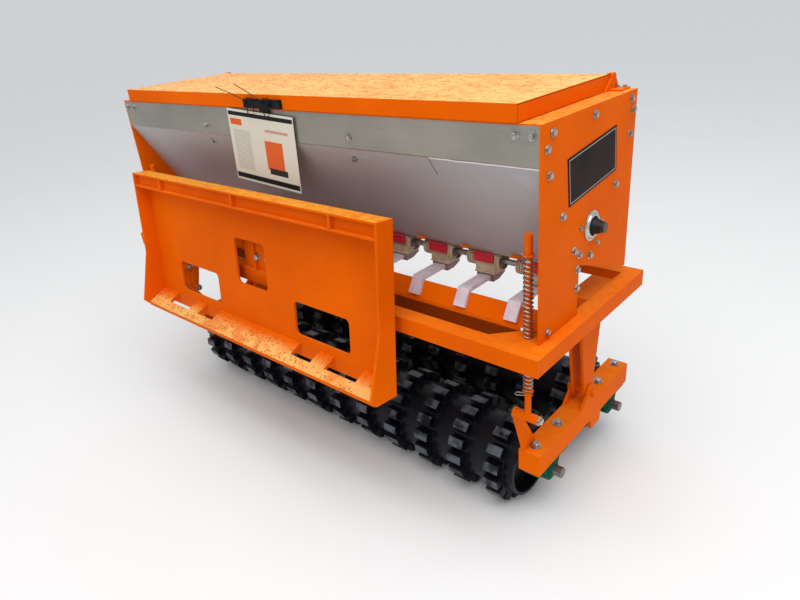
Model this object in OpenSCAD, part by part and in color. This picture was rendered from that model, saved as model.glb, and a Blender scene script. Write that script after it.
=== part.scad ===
// Seed drill that a compact loader carries: hopper over two lugged rollers.
// X runs to the machine's right end, Y to its back, Z up; the origin lies on
// the ground under the middle of the machine.

/* [Hopper] */
// Width over the two end plates
hopper_w = 1680; // [1400:10:2000]
// Depth of the hopper at its top, front to back
hopper_d = 454; // [400:2:520]
// Distance from the origin back to the front face of the hopper
hopper_front = -228; // [-240:1:-210]
// Height of the end plates' top edge above the ground
hopper_top = 1102; // [1060:2:1160]
// Height of the upright band above the sloped sheets
band_h = 82; // [60:1:110]
// Height of the hopper's floor above the ground
floor_z = 742; // [735:1:760]
// Distance from the hopper's front face back to the floor's front edge
floor_inset = 163; // [150:1:175]
// Depth of the flat floor, front to back
floor_d = 77; // [70:1:90]
// Thickness of the hopper's sheets
sheet_t = 2; // [1.5:0.1:3]
// Thickness of the end plates
plate_t = 5; // [4:0.5:8]
// Depth of an end plate's leg down to the frame
leg_w = 182; // [160:1:200]
// Rise of the cut-out behind the leg above the hopper's floor
cutout_rise = 4; // [0:1:15]
// Drop of an end plate's lower corner at the back below the hopper's floor
heel_drop = 97; // [60:1:110]

/* [Lid] */
// Distance from an end plate's outer face in to the lid's side
lid_inset = 53; // [40:1:80]
// Depth of the lid, front to back
lid_d = 412; // [360:1:420]
// Height of the lid's skirt
lid_h = 38; // [30:1:50]
// Thickness of the lid's sheet
lid_t = 3; // [2:0.5:4]

/* [Frame] */
// Distance from an end plate's outer face out to the side beam's outer face
frame_side = 31; // [25:1:45]
// Distance from the hopper's front face forward to the frame's front face
frame_ahead = 60; // [50:1:80]
// Height of the frame's top face above the ground
frame_z = 616; // [600:1:640]
// Height of the frame's angle beams
beam_h = 45; // [40:1:60]
// Gap between the hopper's front face and the front beam's top flange
flange_gap = 15; // [2:1:20]
// Thickness of the angle beams
beam_t = 6; // [5:0.5:8]
// Size of the frame's corner plates
gusset_w = 112; // [90:1:130]

/* [Rollers] */
// Distance from the origin back to the rear roller's lugs
roller_reach = 430; // [400:2:460]
// Distance between the two roller axes
roller_gap = 372; // [330:2:420]
// Distance from a roller's axis to the lugs' outer faces
roller_r = 135; // [125:1:150]
// Radius of the bare drum
drum_r = 105; // [95:1:110]
// Wall of the drum
drum_wall = 8; // [6:1:12]
// Gap between a drum's end and the walking arm beside it
drum_gap = 13; // [8:1:30]
// Number of lug rings along the drum
rings = 12; // [10:1:13]
// Distance from a drum's end to its outermost lug ring
ring_inset = 32.5; // [20:0.5:60]
// Number of lugs round one ring
lugs = 16; // [12:1:16]
// Width of a lug along the drum
lug_w = 47; // [36:1:60]
// Length of a lug's outer face round the drum
lug_l = 26; // [20:1:26]
// Length of a lug's foot round the drum
lug_foot = 34; // [26:1:38]
// Angle of the front roller's first lug above the horizontal
front_phase = 19.5; // [0:0.5:22.5]
// Radius of the roller's shaft
shaft_r = 15; // [12:0.5:20]

/* [Walking arms] */
// Distance from a side beam's outer face in to the arm's outer face
arm_inset = 58; // [50:1:75]
// Width of an arm's tube
arm_w = 62; // [50:1:70]
// Height of an arm's tube
arm_h = 66; // [50:1:70]
// Reach of an arm past the pillow block at its back end
arm_end = 2; // [0:1:20]
// Reach of an arm past the pillow block at its front end
arm_nose = 12; // [0:1:20]
// Height from a roller's axis to the underside of its arm
bearing_h = 43; // [40:1:50]
// Distance from the middle of the arm back to its pivot
pivot_shift = 16; // [0:1:30]
// Height of the arm's pivot above the arm
pivot_h = 34; // [28:1:45]
// Radius of the pivot pin
pivot_r = 10; // [8:0.5:14]

/* [Sprung rods] */
// Distance from a side beam's outer face in to the rod
rod_inset = 72; // [64:1:80]
// Distance from the frame's front face back to a rod
rod_back = 82; // [76:1:88]
// Radius of a rod
rod_r = 8; // [6:0.5:10]
// Height of a rod's barrel above the arm's top face
rod_foot_h = 146; // [130:1:180]
// Height of the upper spring above the frame
upper_spring = 206; // [160:1:230]
// Height from the lower spring's lower end to the frame's top face
lower_spring = 148; // [120:1:170]
// Radius of a spring to the middle of its wire
spring_r = 10.5; // [10:0.5:18]
// Radius of a spring's wire
wire_r = 2; // [1.5:0.5:3.5]

/* [Attachment plate] */
// Width of the attachment plate
attach_w = 1160; // [1100:5:1200]
// Distance from the middle of the machine to the plate's middle, to the left
attach_shift = 98; // [0:1:120]
// Drop of the shelf's back edge below the frame's top face
attach_drop = 164; // [150:1:190]
// Height of the plate from the shelf to the lip's top, along the sheet
attach_h = 432; // [420:1:460]
// Distance from the frame's front face forward to the sheet at the shelf
attach_ahead = 52; // [48:1:70]
// Lean of the sheet towards the hopper, in degrees
attach_lean = 5.9; // [4:0.1:7]
// Thickness of the plate
attach_t = 8; // [6:1:10]
// Reach of the lip and the side flanges in front of the sheet
lip_reach = 49; // [40:1:60]
// Height of the open box under the lip
lip_box_h = 47; // [40:1:60]
// Reach of the lower shelf in front of the sheet
shelf_reach = 73; // [60:1:80]
// Fall of the shelf from the sheet to its front edge
shelf_fall = 31; // [20:1:40]

/* [Seed meters] */
// Number of seed meters
meters = 11; // [8:1:11]
// Distance from an end plate's inner face in to the outermost meter's middle
meter_inset = 85; // [75:1:120]
// Radius of a meter's round body
meter_r = 27; // [22:1:30]
// Length of a meter's round body
meter_l = 58; // [50:1:66]
// Distance from the floor's front edge back to the meters' axis
meter_back = 30; // [28:1:36]
// Drop of the meters' axis below the hopper's floor
meter_drop = 32; // [30:1:40]
// Radius of the shaft through the meters
meter_shaft_r = 8; // [6:0.5:10]
// Radius of the ribbed wheels beside the meters
rib_r = 24; // [18:1:26]
// Number of ribs on such a wheel
ribs = 4; // [2:1:6]

/* [Agitator] */
// Distance from the floor's front edge back to the agitator's axis
agitator_back = 73; // [65:1:90]
// Rise of the agitator's axis above the hopper's floor
agitator_rise = 86; // [78:1:98]
// Radius of the agitator's shaft
agitator_r = 12.5; // [10:0.5:16]
// Reach of the agitator's fingers from its axis
finger_reach = 38; // [30:1:42]

/* [Hidden] */
$fn = 48;
overlap = 0.5;
seat_gap = 0.3;
pin_clear = 0.05;
half_w = hopper_w / 2;
inner_x = half_w - plate_t;
hopper_back = hopper_front + hopper_d;
fold_z = hopper_top - band_h;
slope_t = 1.2 * sheet_t;
floor_t = 3;
floor_front = hopper_front + floor_inset;
floor_back = floor_front + floor_d;
frame_x = half_w + frame_side;
frame_front = hopper_front - frame_ahead;
frame_back = hopper_back + frame_ahead;
beam_z = frame_z - beam_h;
beam_flange = frame_ahead - flange_gap;
axis_z = roller_r;
rear_axis_y = roller_reach - roller_r;
front_axis_y = rear_axis_y - roller_gap;
arm_x = frame_x - arm_inset;
arm_inner = arm_x - arm_w;
arm_z = axis_z + bearing_h;
arm_top = arm_z + arm_h;
pivot_y = (front_axis_y + rear_axis_y) / 2 + pivot_shift;
pivot_z = arm_top + pivot_h;
rim_t = 3;
rim_top = hopper_top + rim_t;
rim_w = 56;
rim_front_w = 10;
rim_back_w = 66;
mouth_w = hopper_w - 2 * rim_w;
mouth_front = hopper_front + rim_front_w;
mouth_d = hopper_d - rim_front_w - rim_back_w;
lid_w = hopper_w - 2 * lid_inset;
lid_overhang = 4;
lid_front = hopper_front - lid_overhang;
lid_z = rim_top + seat_gap;
hinge_t = 6;
hinge_eye = 12;
hinge_pin = 5;
hinge_back = 14;
hinge_rise = 16;
hinge_y = lid_front + lid_d + hinge_back;
hinge_z = rim_top + hinge_eye + hinge_rise;
ear_gap = 1;
ear_foot = 47;
ear_heel = 31;
ear_base_w = 34;
ear_base_t = 4;
latch_x = -19;
latch_rise = 2;
latch_z = lid_z + latch_rise;
latch_w = 164;
latch_t = 8;
latch_h = 24;
latch_eye_w = 40;
latch_eye_h = 26;
latch_eye_t = 2;
plaque_back = 231;
plaque_w = 236;
plaque_above = 75;
plaque_below = 47;
plaque_tilt = 6.5;
plaque_t = 2;
card_x = -52;
card_drop = 112;
card_w = 297;
card_h = 210;
card_t = 1;
card_y = lid_front - latch_eye_t - seat_gap;
card_tilt = -3;
meter_y = floor_front + meter_back;
meter_z = floor_z - meter_drop;
meter_shift = -15;
meter_pitch = 2 * (inner_x - meter_inset) / (meters - 1);
meter_x = [for (i = [0 : meters - 1]) (i - (meters - 1) / 2) * meter_pitch + meter_shift];
neck_margin = 1;
neck_d = 2 * (meter_r + neck_margin);
throat_h = 6;
cap_l = 12;
cap_dish = 4;
cap_rim = 5;
outlet_w = 40;
outlet_d = 30;
shutter_w = 58;
shutter_t = 8;
shutter_rise = 2;
shutter_z = meter_z + shutter_rise;
shutter_h = 26;
shaft_gap = 5;
shaft_reach = inner_x - shaft_gap;
rib_gap = 4;
rib_core = 18;
rib_t = 3.5;
rib_pitch = 7;
box_w = 52;
box_d = neck_d;
box_z = meter_z - meter_r - throat_h;
box_h = 20;
slot_d = 107;
drop_y = frame_front + slot_d;
drop_t = 3;
drop_z = frame_z + drop_t + seat_gap;
drop_run = 26;
drop_rise = 42;
drop_lip = 72;
lip_gap = 14;
drop_lip_x = frame_x - 2 * beam_flange - gusset_w + slot_d - lip_gap;
tube_foot = 8;
tube_lift = 0.5;
tube_t = 10;
tube_w = 35;
tube_z = drop_z + drop_rise + 2;
drop_dir = [drop_run, drop_rise] / norm([drop_run, drop_rise]);
function on_board(t, n) = [drop_y, drop_z] + t * drop_dir + n * [-drop_dir[1], drop_dir[0]];
function board_at(z, n) = (z - drop_z - n * drop_dir[0]) / drop_dir[1];
agitator_y = floor_front + agitator_back;
agitator_z = floor_z + agitator_rise;
bearing_wall = 6;
bearing_bore = agitator_r + bearing_wall;
stub_l = 36;
stub_x = half_w + stub_l;
fingers = 9;
finger_inset = 155;
finger_pitch = 2 * (inner_x - finger_inset) / (fingers - 1);
finger_r = 5;
flange_t = 4;
flange_r = 44;
dome_r = 37;
dome_rise = 5;
dome_neck = 27;
plaque_h = hopper_top - plaque_above - plaque_below - agitator_z - flange_r;
plaque_z = hopper_top - plaque_above - plaque_h / 2;
boot_l = 28;
boot_r = 24;
boot_mouth = 17;
lug_t = 8;
pivot_eye = 24;
pivot_foot = 60;
side_gap = 2;
hanger_w = 150;
pin_head = 10;
block_w = 38;
block_l = 165;
arm_l = roller_gap + block_l + arm_nose + arm_end;
arm_front = front_axis_y - block_l / 2 - arm_nose;
block_base = 16;
block_lip = 5;
block_r = 34;
block_neck = 50;
block_hub = 24;
block_hub_l = 5;
tab_y = 162;
tab_w = 70;
tab_drop = 35;
tab_taper = 8;
rod_x = frame_x - rod_inset;
rod_y = frame_front + rod_back;
rod_clear = 0.3;
rod_foot = arm_top + rod_foot_h;
spring_top = frame_z + upper_spring;
spring_low = frame_z - lower_spring;
sleeve_l = 48;
sleeve_r = 9.5;
rod_top = spring_top + sleeve_l;
washer_rim = 1;
washer_r = spring_r + wire_r + washer_rim;
washer_t = 3;
barrel_l = 62;
barrel_r = 12;
rod_lug_t = 8;
rod_lug_foot = 60;
rod_lug_rim = 2;
coil_steps = 12;
wire_sides = 5;
upper_turns = 18;
lower_turns = 9;
drum_l = 2 * (arm_inner - drum_gap);
ring_pitch = (drum_l - 2 * ring_inset - lug_w) / (rings - 1);
ring_rise = 1;
lug_top = sqrt(roller_r * roller_r - lug_l * lug_l / 4);
rear_phase = front_phase + 180 / lugs;
disc_in = 40;
disc_t = 8;
shaft_end = 20;
shaft_x = arm_x + shaft_end;
attach_x0 = -attach_shift - attach_w / 2;
attach_x1 = attach_x0 + attach_w;
attach_y = frame_front - attach_ahead;
attach_z = frame_z - attach_drop;
sheet_tail = 47;
flange_sheet = 8;
toe_ahead = 17;
toe_rise = 12;
toe_drop = 8;
kink_h = 146;
lip_t = 6;
lip_wall = 36;
lip_rib_t = 8;
window_round = 16;
// Windows of the plate: middle as a share of its width, middle height, width, height
windows = [[-0.272, 77, 231, 106], [-0.0065, 202, 151, 150], [0.262, 77, 231, 106]];
// Pockets of the shelf: middle as a share of its width, width
pockets = [[-0.356, 124], [-0.2155, 86], [0.2135, 86], [0.356, 124]];
// Ribs under the lip: middle as a share of its width
lip_ribs = [-0.351, -0.003, 0.3575];
shelf_t = 12;
pocket_d = 43;
link_inset = 133;
link_x = attach_w / 2 - link_inset;
link_w = 24;
link_t = 12;
link_pin = 6;
link_top = [frame_front - 18, frame_z - 59];
link_knee = [frame_front - 22, frame_z - 124];
link_low = [frame_front - 4, frame_z - 148];
cheek_t = 8;
cheek_gap = 1;
post_x = 30;
post_pin = [frame_front + 18, frame_z + 119];
post_plate_w = 190;
post_plate_h = 94;
post_plate_back = 12;
box_s = attach_h - lip_box_h;
ledge_rise = 1;
function plate_x(share) = share * attach_w - attach_shift;
function sheet_at(s, n) = [attach_y + s * sin(attach_lean) - n * cos(attach_lean),
                           attach_z + s * cos(attach_lean) + n * sin(attach_lean)];
function sheet_back(z) = attach_y + attach_t / cos(attach_lean) + (z - attach_z) * tan(attach_lean);

// Extrudes a Y-Z outline along X between two stations.
module along_x(x0, x1) {
    translate([x0, 0, 0]) rotate([90, 0, 90]) linear_extrude(x1 - x0) children();
}

// Extrudes an X-Z outline along Y between two stations.
module along_y(y0, y1) {
    translate([0, y1, 0]) rotate([90, 0, 0]) linear_extrude(y1 - y0) children();
}

// A round bar along X between two stations.
module bar_x(x0, x1, y, z, r) {
    translate([x0, y, z]) rotate([0, 90, 0]) cylinder(r = r, h = x1 - x0);
}

module both_ends() {
    children();
    mirror([1, 0, 0]) children();
}

// Angle beam across the machine: flange on top, web at the outside.
module cross_beam(outer_y, dir) {
    web = [outer_y, outer_y + dir * beam_t];
    flange = [outer_y, outer_y + dir * beam_flange];
    along_x(-frame_x, frame_x)
        polygon([[web[0], beam_z], [web[1], beam_z], [web[1], frame_z], [web[0], frame_z]]);
    along_x(beam_t - frame_x, frame_x - beam_t)
        polygon([[flange[0], frame_z - beam_t], [flange[1], frame_z - beam_t],
                 [flange[1], frame_z], [flange[0], frame_z]]);
}

module frame_front() {
    color("orange") cross_beam(frame_front, 1);
}

module frame_rear() {
    color("orange") cross_beam(frame_back, -1);
}

// Side beam with the corner plate that the sprung rod passes through.
module side_beam() {
    x1 = frame_x;
    x0 = frame_x - beam_flange;
    gusset_y = frame_front + beam_flange;
    along_y(frame_front + beam_t, frame_back - beam_t)
        polygon([[x1 - beam_t, beam_z], [x1, beam_z], [x1, frame_z], [x1 - beam_t, frame_z]]);
    along_y(gusset_y, frame_back - beam_flange)
        polygon([[x0, frame_z - beam_t], [x1, frame_z - beam_t], [x1, frame_z], [x0, frame_z]]);
    difference() {
        translate([0, 0, frame_z - beam_t]) linear_extrude(beam_t)
            polygon([[x0 - gusset_w, gusset_y], [x0 + overlap, gusset_y],
                     [x0 + overlap, gusset_y + gusset_w]]);
        translate([rod_x, rod_y, beam_z]) cylinder(r = rod_r + rod_clear, h = beam_h * 2);
    }
}

module frame_side_right() {
    color("orange") side_beam();
}

module frame_side_left() {
    color("orange") mirror([1, 0, 0]) side_beam();
}

// End plate: a leg down to the frame in front, cut away obliquely behind.
module end_plate() {
    leg_back = hopper_front + leg_w;
    difference() {
        along_x(inner_x, half_w)
            polygon([[hopper_front, frame_z], [leg_back, frame_z],
                     [leg_back, floor_z + cutout_rise], [hopper_back, floor_z - heel_drop],
                     [hopper_back, hopper_top],
                     [hopper_front, hopper_top]]);
        bar_x(inner_x - plate_t, half_w + plate_t, agitator_y, agitator_z, bearing_bore);
    }
}

module end_plate_right() {
    color("orange") end_plate();
}

module end_plate_left() {
    color("orange") mirror([1, 0, 0]) end_plate();
}

// Flanges round the hopper's mouth, on which the lid rests.
module hopper_rim() {
    color("orange") translate([0, 0, hopper_top]) linear_extrude(rim_t) difference() {
        translate([-half_w, hopper_front]) square([hopper_w, hopper_d]);
        translate([-mouth_w / 2, mouth_front]) square([mouth_w, mouth_d]);
    }
}

// Front sheet: an upright band, then the steep slope down to the floor.
module hopper_front_sheet() {
    color("silver") along_x(-inner_x, inner_x) {
        polygon([[hopper_front, fold_z], [hopper_front + sheet_t, fold_z],
                 [hopper_front + sheet_t, hopper_top], [hopper_front, hopper_top]]);
        polygon([[hopper_front, fold_z], [floor_front, floor_z],
                 [floor_front + slope_t, floor_z], [hopper_front + sheet_t, fold_z]]);
    }
}

module hopper_back_sheet() {
    color("silver") along_x(-inner_x, inner_x) {
        polygon([[hopper_back, fold_z], [hopper_back - sheet_t, fold_z],
                 [hopper_back - sheet_t, hopper_top], [hopper_back, hopper_top]]);
        polygon([[hopper_back, fold_z], [floor_back, floor_z],
                 [floor_back - slope_t, floor_z], [hopper_back - sheet_t, fold_z]]);
    }
}

// Floor with one outlet above each meter.
module hopper_floor() {
    color("silver") difference() {
        translate([-inner_x, floor_front, floor_z - floor_t])
            cube([2 * inner_x, floor_d, floor_t]);
        for (x = meter_x)
            translate([x - outlet_w / 2, meter_y - outlet_d / 2, floor_z - 2 * floor_t])
                cube([outlet_w, outlet_d, 3 * floor_t]);
    }
}

// Shallow pan lid, open below, with its two hinge arms at the back.
module lid() {
    color("orange") {
        difference() {
            translate([-lid_w / 2, lid_front, lid_z]) cube([lid_w, lid_d, lid_h]);
            translate([lid_t - lid_w / 2, lid_front + lid_t, lid_z - lid_t])
                cube([lid_w - 2 * lid_t, lid_d - 2 * lid_t, lid_h]);
        }
        both_ends() difference() {
            along_x(lid_w / 2 - hinge_t, lid_w / 2) {
                translate([hinge_y, hinge_z]) circle(r = hinge_eye);
                polygon([[lid_front + lid_d - overlap, hinge_z - hinge_eye],
                         [hinge_y, hinge_z - hinge_eye], [hinge_y, hinge_z + hinge_eye],
                         [lid_front + lid_d - overlap, hinge_z + hinge_eye]]);
            }
            bar_x(lid_w / 2 - 2 * hinge_t, lid_w / 2 + hinge_t, hinge_y, hinge_z,
                  hinge_pin + pin_clear);
        }
    }
}

// Ears on the rim, each on a foot, with the pins that the lid turns on.
module lid_hinges() {
    ear_x = lid_w / 2 + ear_gap;
    color("orange") both_ends() {
        along_x(ear_x, ear_x + hinge_t) {
            translate([hinge_y, hinge_z]) circle(r = hinge_eye);
            polygon([[hinge_y - ear_foot, rim_top], [hinge_y + ear_heel, rim_top],
                     [hinge_y + hinge_eye, hinge_z], [hinge_y - hinge_eye, hinge_z]]);
        }
        translate([ear_x, hinge_y - ear_foot / 2, rim_top])
            cube([ear_base_w, ear_foot / 2 + ear_heel, ear_base_t]);
        bar_x(lid_w / 2 - hinge_t, ear_x + overlap, hinge_y, hinge_z, hinge_pin);
    }
}

// Latch on the lid's front, with its handle and the eye that carries the card.
module latch() {
    color("dimgray") {
        translate([latch_x - latch_w / 2, lid_front - latch_t, latch_z])
            cube([latch_w, latch_t, latch_h]);
        along_y(lid_front - 2 * latch_t, lid_front - latch_t)
            translate([latch_x, latch_z + latch_h / 2]) square([latch_w / 2, latch_h / 2], true);
        translate([latch_x - latch_eye_w / 2, lid_front - latch_eye_t, latch_z - latch_eye_h])
            cube([latch_eye_w, latch_eye_t, latch_eye_h + overlap]);
    }
}

// Blank plaque on the right end plate.
module name_plaque() {
    color("black") along_x(half_w, half_w + plaque_t)
        translate([hopper_front + plaque_back, plaque_z]) rotate(plaque_tilt)
            square([plaque_w, plaque_h], true);
}

// Blank card that hangs from the latch.
module spec_card() {
    color("white") along_y(card_y - card_t, card_y)
        translate([card_x, hopper_top - card_drop]) rotate(card_tilt) square([card_w, card_h], true);
}

// Housing of one meter: neck under the floor, round body, throat below.
module meter_housing() {
    difference() {
        union() {
            bar_x(-meter_l / 2, meter_l / 2 + cap_l, meter_y, meter_z, meter_r);
            translate([-meter_l / 2, meter_y - neck_d / 2, meter_z])
                cube([meter_l, neck_d, floor_z - floor_t - meter_z]);
            translate([-meter_l / 2, meter_y - neck_d / 2, meter_z - meter_r - throat_h])
                cube([meter_l, neck_d, throat_h + meter_r]);
        }
        bar_x(-meter_l, meter_l + cap_l, meter_y, meter_z, meter_shaft_r + pin_clear);
        bar_x(meter_l / 2 + cap_l - cap_dish, meter_l + cap_l, meter_y, meter_z,
              meter_r - cap_rim);
    }
}

module seed_meters() {
    color("tan") for (x = meter_x) translate([x, 0, 0]) meter_housing();
}

// Red shutter in front of each meter's neck.
module meter_shutters() {
    color("crimson") for (x = meter_x)
        translate([x - shutter_w / 2, meter_y - neck_d / 2 - shutter_t, shutter_z])
            cube([shutter_w, shutter_t, shutter_h]);
}

// Shaft through all meters, with a ribbed wheel beside each housing.
module meter_shaft() {
    color("wheat") {
        bar_x(-shaft_reach, shaft_reach, meter_y, meter_z, meter_shaft_r);
        for (x = meter_x) translate([x - meter_l / 2 - rib_gap, 0, 0]) {
            bar_x(-ribs * rib_pitch, 0, meter_y, meter_z, rib_core);
            for (k = [1 : ribs]) bar_x(-k * rib_pitch, rib_t - k * rib_pitch, meter_y, meter_z, rib_r);
        }
    }
}

// Clear catch box under each meter's throat.
module meter_boxes() {
    color("peru") for (x = meter_x) along_x(x - box_w / 2, x + box_w / 2)
        polygon([[meter_y - box_d / 2, box_z], [meter_y + box_d / 2, box_z],
                 [meter_y + box_d / 2, box_z - box_h / 2], [meter_y, box_z - box_h],
                 [meter_y - box_d / 2, box_z - box_h]]);
}

// Flat tube from each box over the deflector's head and down its face.
module seed_tubes() {
    tube_y = meter_y - box_d / 2 - seat_gap;
    outer = tube_lift + tube_t;
    color("mistyrose") for (x = meter_x) along_x(x - tube_w / 2, x + tube_w / 2)
        polygon([[tube_y, tube_z], on_board(board_at(tube_z, tube_lift), tube_lift),
                 on_board(tube_foot, tube_lift), on_board(tube_foot, outer),
                 on_board(board_at(tube_z + tube_t, outer), outer), [tube_y, tube_z + tube_t]]);
}

// Steep board that guides the seed to the slot behind the front beam.
module seed_deflector() {
    color("orange") {
        along_x(seat_gap - inner_x, inner_x - seat_gap)
            polygon([[drop_y, drop_z], [drop_y + drop_run, drop_z + drop_rise],
                     [drop_y + drop_run + drop_t, drop_z + drop_rise], [drop_y + drop_t, drop_z]]);
        along_x(-drop_lip_x, drop_lip_x)
            translate([drop_y, drop_z - drop_lip]) square([drop_t, drop_lip]);
    }
}

// Shaft with stirring fingers over the hopper's floor.
module agitator() {
    color("silver") {
        bar_x(-stub_x, stub_x, agitator_y, agitator_z, agitator_r);
        for (i = [0 : fingers - 1])
            translate([(i - (fingers - 1) / 2) * finger_pitch, agitator_y, agitator_z])
                rotate([90 * (i % 2), 0, 0])
                    translate([0, 0, -finger_reach])
                        cylinder(r = finger_r, h = 2 * finger_reach);
    }
}

// Pressed flange with its domed ring, and the rubber boot that narrows to the shaft.
module shaft_bearings() {
    color("dimgray") both_ends() {
        translate([half_w, agitator_y, agitator_z]) rotate([0, 90, 0]) rotate_extrude()
            polygon([[agitator_r + pin_clear, 0], [flange_r, 0], [flange_r, flange_t],
                     [dome_r, flange_t], [dome_r - dome_rise / 2, flange_t + dome_rise],
                     [dome_neck, flange_t + dome_rise], [boot_r, flange_t + dome_rise / 2],
                     [boot_r, boot_l / 2], [boot_mouth, boot_l],
                     [agitator_r + pin_clear, boot_l]]);
        difference() {
            bar_x(inner_x, half_w + overlap, agitator_y, agitator_z, bearing_bore - pin_clear);
            bar_x(inner_x - plate_t, half_w + plate_t, agitator_y, agitator_z,
                  agitator_r + pin_clear);
        }
    }
}

// Walking arm with the pivot lugs on top and a stop tab below.
module arm() {
    translate([arm_inner, arm_front, arm_z]) cube([arm_w, arm_l, arm_h]);
    for (x = [arm_inner, arm_x - lug_t]) difference() {
        along_x(x, x + lug_t) {
            translate([pivot_y, pivot_z]) circle(r = pivot_eye);
            polygon([[pivot_y - pivot_foot, arm_top], [pivot_y + pivot_foot, arm_top],
                     [pivot_y + pivot_eye, pivot_z], [pivot_y - pivot_eye, pivot_z]]);
        }
        bar_x(x - lug_t, x + 2 * lug_t, pivot_y, pivot_z, pivot_r);
    }
    along_x(arm_x - lug_t, arm_x)
        polygon([[tab_y - tab_w / 2, arm_z], [tab_y + tab_w / 2, arm_z],
                 [tab_y + tab_w / 2 - tab_taper, arm_z - tab_drop],
                 [tab_y - tab_w / 2 + tab_taper, arm_z - tab_drop]]);
}

module arm_right() {
    color("orange") arm();
}

module arm_left() {
    color("orange") mirror([1, 0, 0]) arm();
}

// Hanging brackets from the side beams to the arms, with the pivot pins.
module arm_brackets() {
    x0 = arm_inner + lug_t + side_gap;
    x1 = arm_x - lug_t - side_gap;
    color("orange") both_ends() {
        along_x(x0, x0 + lug_t) hanger();
        along_x(x1 - lug_t, x1) hanger();
        translate([x0, pivot_y - hanger_w / 2, frame_z - beam_t - lug_t])
            cube([frame_x - beam_t - x0, hanger_w, lug_t]);
        bar_x(arm_inner - pin_head, arm_x + pin_head, pivot_y, pivot_z, pivot_r - pin_clear);
    }
}

module hanger() {
    translate([pivot_y, pivot_z]) circle(r = pivot_eye);
    polygon([[pivot_y - pivot_eye, pivot_z], [pivot_y + pivot_eye, pivot_z],
             [pivot_y + hanger_w / 2, frame_z - beam_t - lug_t],
             [pivot_y - hanger_w / 2, frame_z - beam_t - lug_t]]);
}

// Pillow block under each end of each arm.
module pillow_block(y) {
    x0 = (arm_inner + arm_x - block_w) / 2;
    difference() {
        union() {
            translate([x0 - block_lip, y - block_l / 2, arm_z - block_base])
                cube([block_w + 2 * block_lip, block_l, block_base]);
            bar_x(x0, x0 + block_w, y, axis_z, block_r);
            bar_x(x0 - block_hub_l, x0 + block_w + block_hub_l, y, axis_z, block_hub);
            along_x(x0, x0 + block_w)
                polygon([[y - block_r, axis_z], [y + block_r, axis_z],
                         [y + block_neck, arm_z - block_base / 2],
                         [y - block_neck, arm_z - block_base / 2]]);
        }
        bar_x(x0 - block_w, x0 + 2 * block_w, y, axis_z, shaft_r + pin_clear);
    }
}

module pillow_blocks() {
    color("darkslategray") both_ends() {
        pillow_block(front_axis_y);
        pillow_block(rear_axis_y);
    }
}

// Rod with its upper sleeve, washers and foot barrel, and the lug on the arm.
module lift_rods() {
    color("darkorange") both_ends() {
        translate([rod_x, rod_y, rod_foot]) cylinder(r = rod_r, h = rod_top - rod_foot);
        translate([rod_x, rod_y, spring_top]) cylinder(r = sleeve_r, h = rod_top - spring_top);
        translate([rod_x, rod_y, spring_top - washer_t]) cylinder(r = washer_r, h = washer_t);
        translate([rod_x, rod_y, spring_low - washer_t]) cylinder(r = washer_r, h = washer_t);
        bar_x(rod_x - barrel_l / 2, rod_x + barrel_l / 2, rod_y, rod_foot, barrel_r);
        x0 = rod_x - barrel_l / 2 - rod_lug_t;
        along_x(x0, x0 + rod_lug_t) {
            translate([rod_y, rod_foot]) circle(r = barrel_r + rod_lug_rim);
            polygon([[arm_front, arm_top], [arm_front + rod_lug_foot, arm_top],
                     [rod_y + barrel_r, rod_foot], [rod_y - barrel_r, rod_foot]]);
        }
    }
}

// Coil of round wire wound between two heights, from rings of wire_sides points.
module coil(z0, z1, turns) {
    steps = turns * coil_steps;
    rise = (z1 - z0 - 2 * wire_r) / steps;
    points = [for (i = [0 : steps]) let (a = 360 * i / coil_steps)
        for (k = [0 : wire_sides - 1]) let (b = 360 * k / wire_sides, r = spring_r + wire_r * cos(b))
            [r * cos(a), r * sin(a), z0 + wire_r + rise * i + wire_r * sin(b)]];
    faces = [for (i = [0 : steps - 1]) for (k = [0 : wire_sides - 1])
        let (p = i * wire_sides, q = (k + 1) % wire_sides)
            [p + k, p + wire_sides + k, p + wire_sides + q, p + q]];
    start = [for (k = [0 : wire_sides - 1]) k];
    end = [for (k = [wire_sides - 1 : -1 : 0]) steps * wire_sides + k];
    polyhedron(points = points, faces = concat(faces, [start], [end]));
}

module rod_springs() {
    color("silver") both_ends() translate([rod_x, rod_y, 0]) {
        coil(frame_z, spring_top - washer_t, upper_turns);
        coil(spring_low, beam_z, lower_turns);
    }
}

// Drum with rings of block lugs, every other ring turned by half a pitch.
module roller(y, phase) {
    translate([0, y, axis_z]) {
        difference() {
            bar_x(-drum_l / 2, drum_l / 2, 0, 0, drum_r);
            bar_x(-drum_l, drum_l, 0, 0, drum_r - drum_wall);
        }
        for (i = [0 : rings - 1])
            translate([(i - (rings - 1) / 2) * ring_pitch - lug_w / 2, 0, 0])
                lug_ring(phase + (i % 2) * 180 / lugs);
        for (s = [-1, 1])
            bar_x(s * (drum_l / 2 - disc_in) - disc_t / 2, s * (drum_l / 2 - disc_in) + disc_t / 2,
                  0, 0, drum_r - drum_wall + overlap);
        bar_x(-shaft_x, shaft_x, 0, 0, shaft_r);
    }
}

module lug_ring(phase) {
    foot_r = drum_r + ring_rise;
    outline = [[foot_r, -lug_foot / 2], [lug_top, -lug_l / 2],
               [lug_top, lug_l / 2], [foot_r, lug_foot / 2]];
    along_x(0, lug_w) difference() {
        polygon([for (k = [0 : lugs - 1]) let (a = phase + k * 360 / lugs)
            for (q = outline) [q[0] * cos(a) - q[1] * sin(a), q[0] * sin(a) + q[1] * cos(a)]]);
        circle(r = drum_r - drum_wall / 2);
    }
}

module roller_front() {
    color("black") roller(front_axis_y, front_phase);
}

module roller_rear() {
    color("black") roller(rear_axis_y, rear_phase);
}

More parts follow.
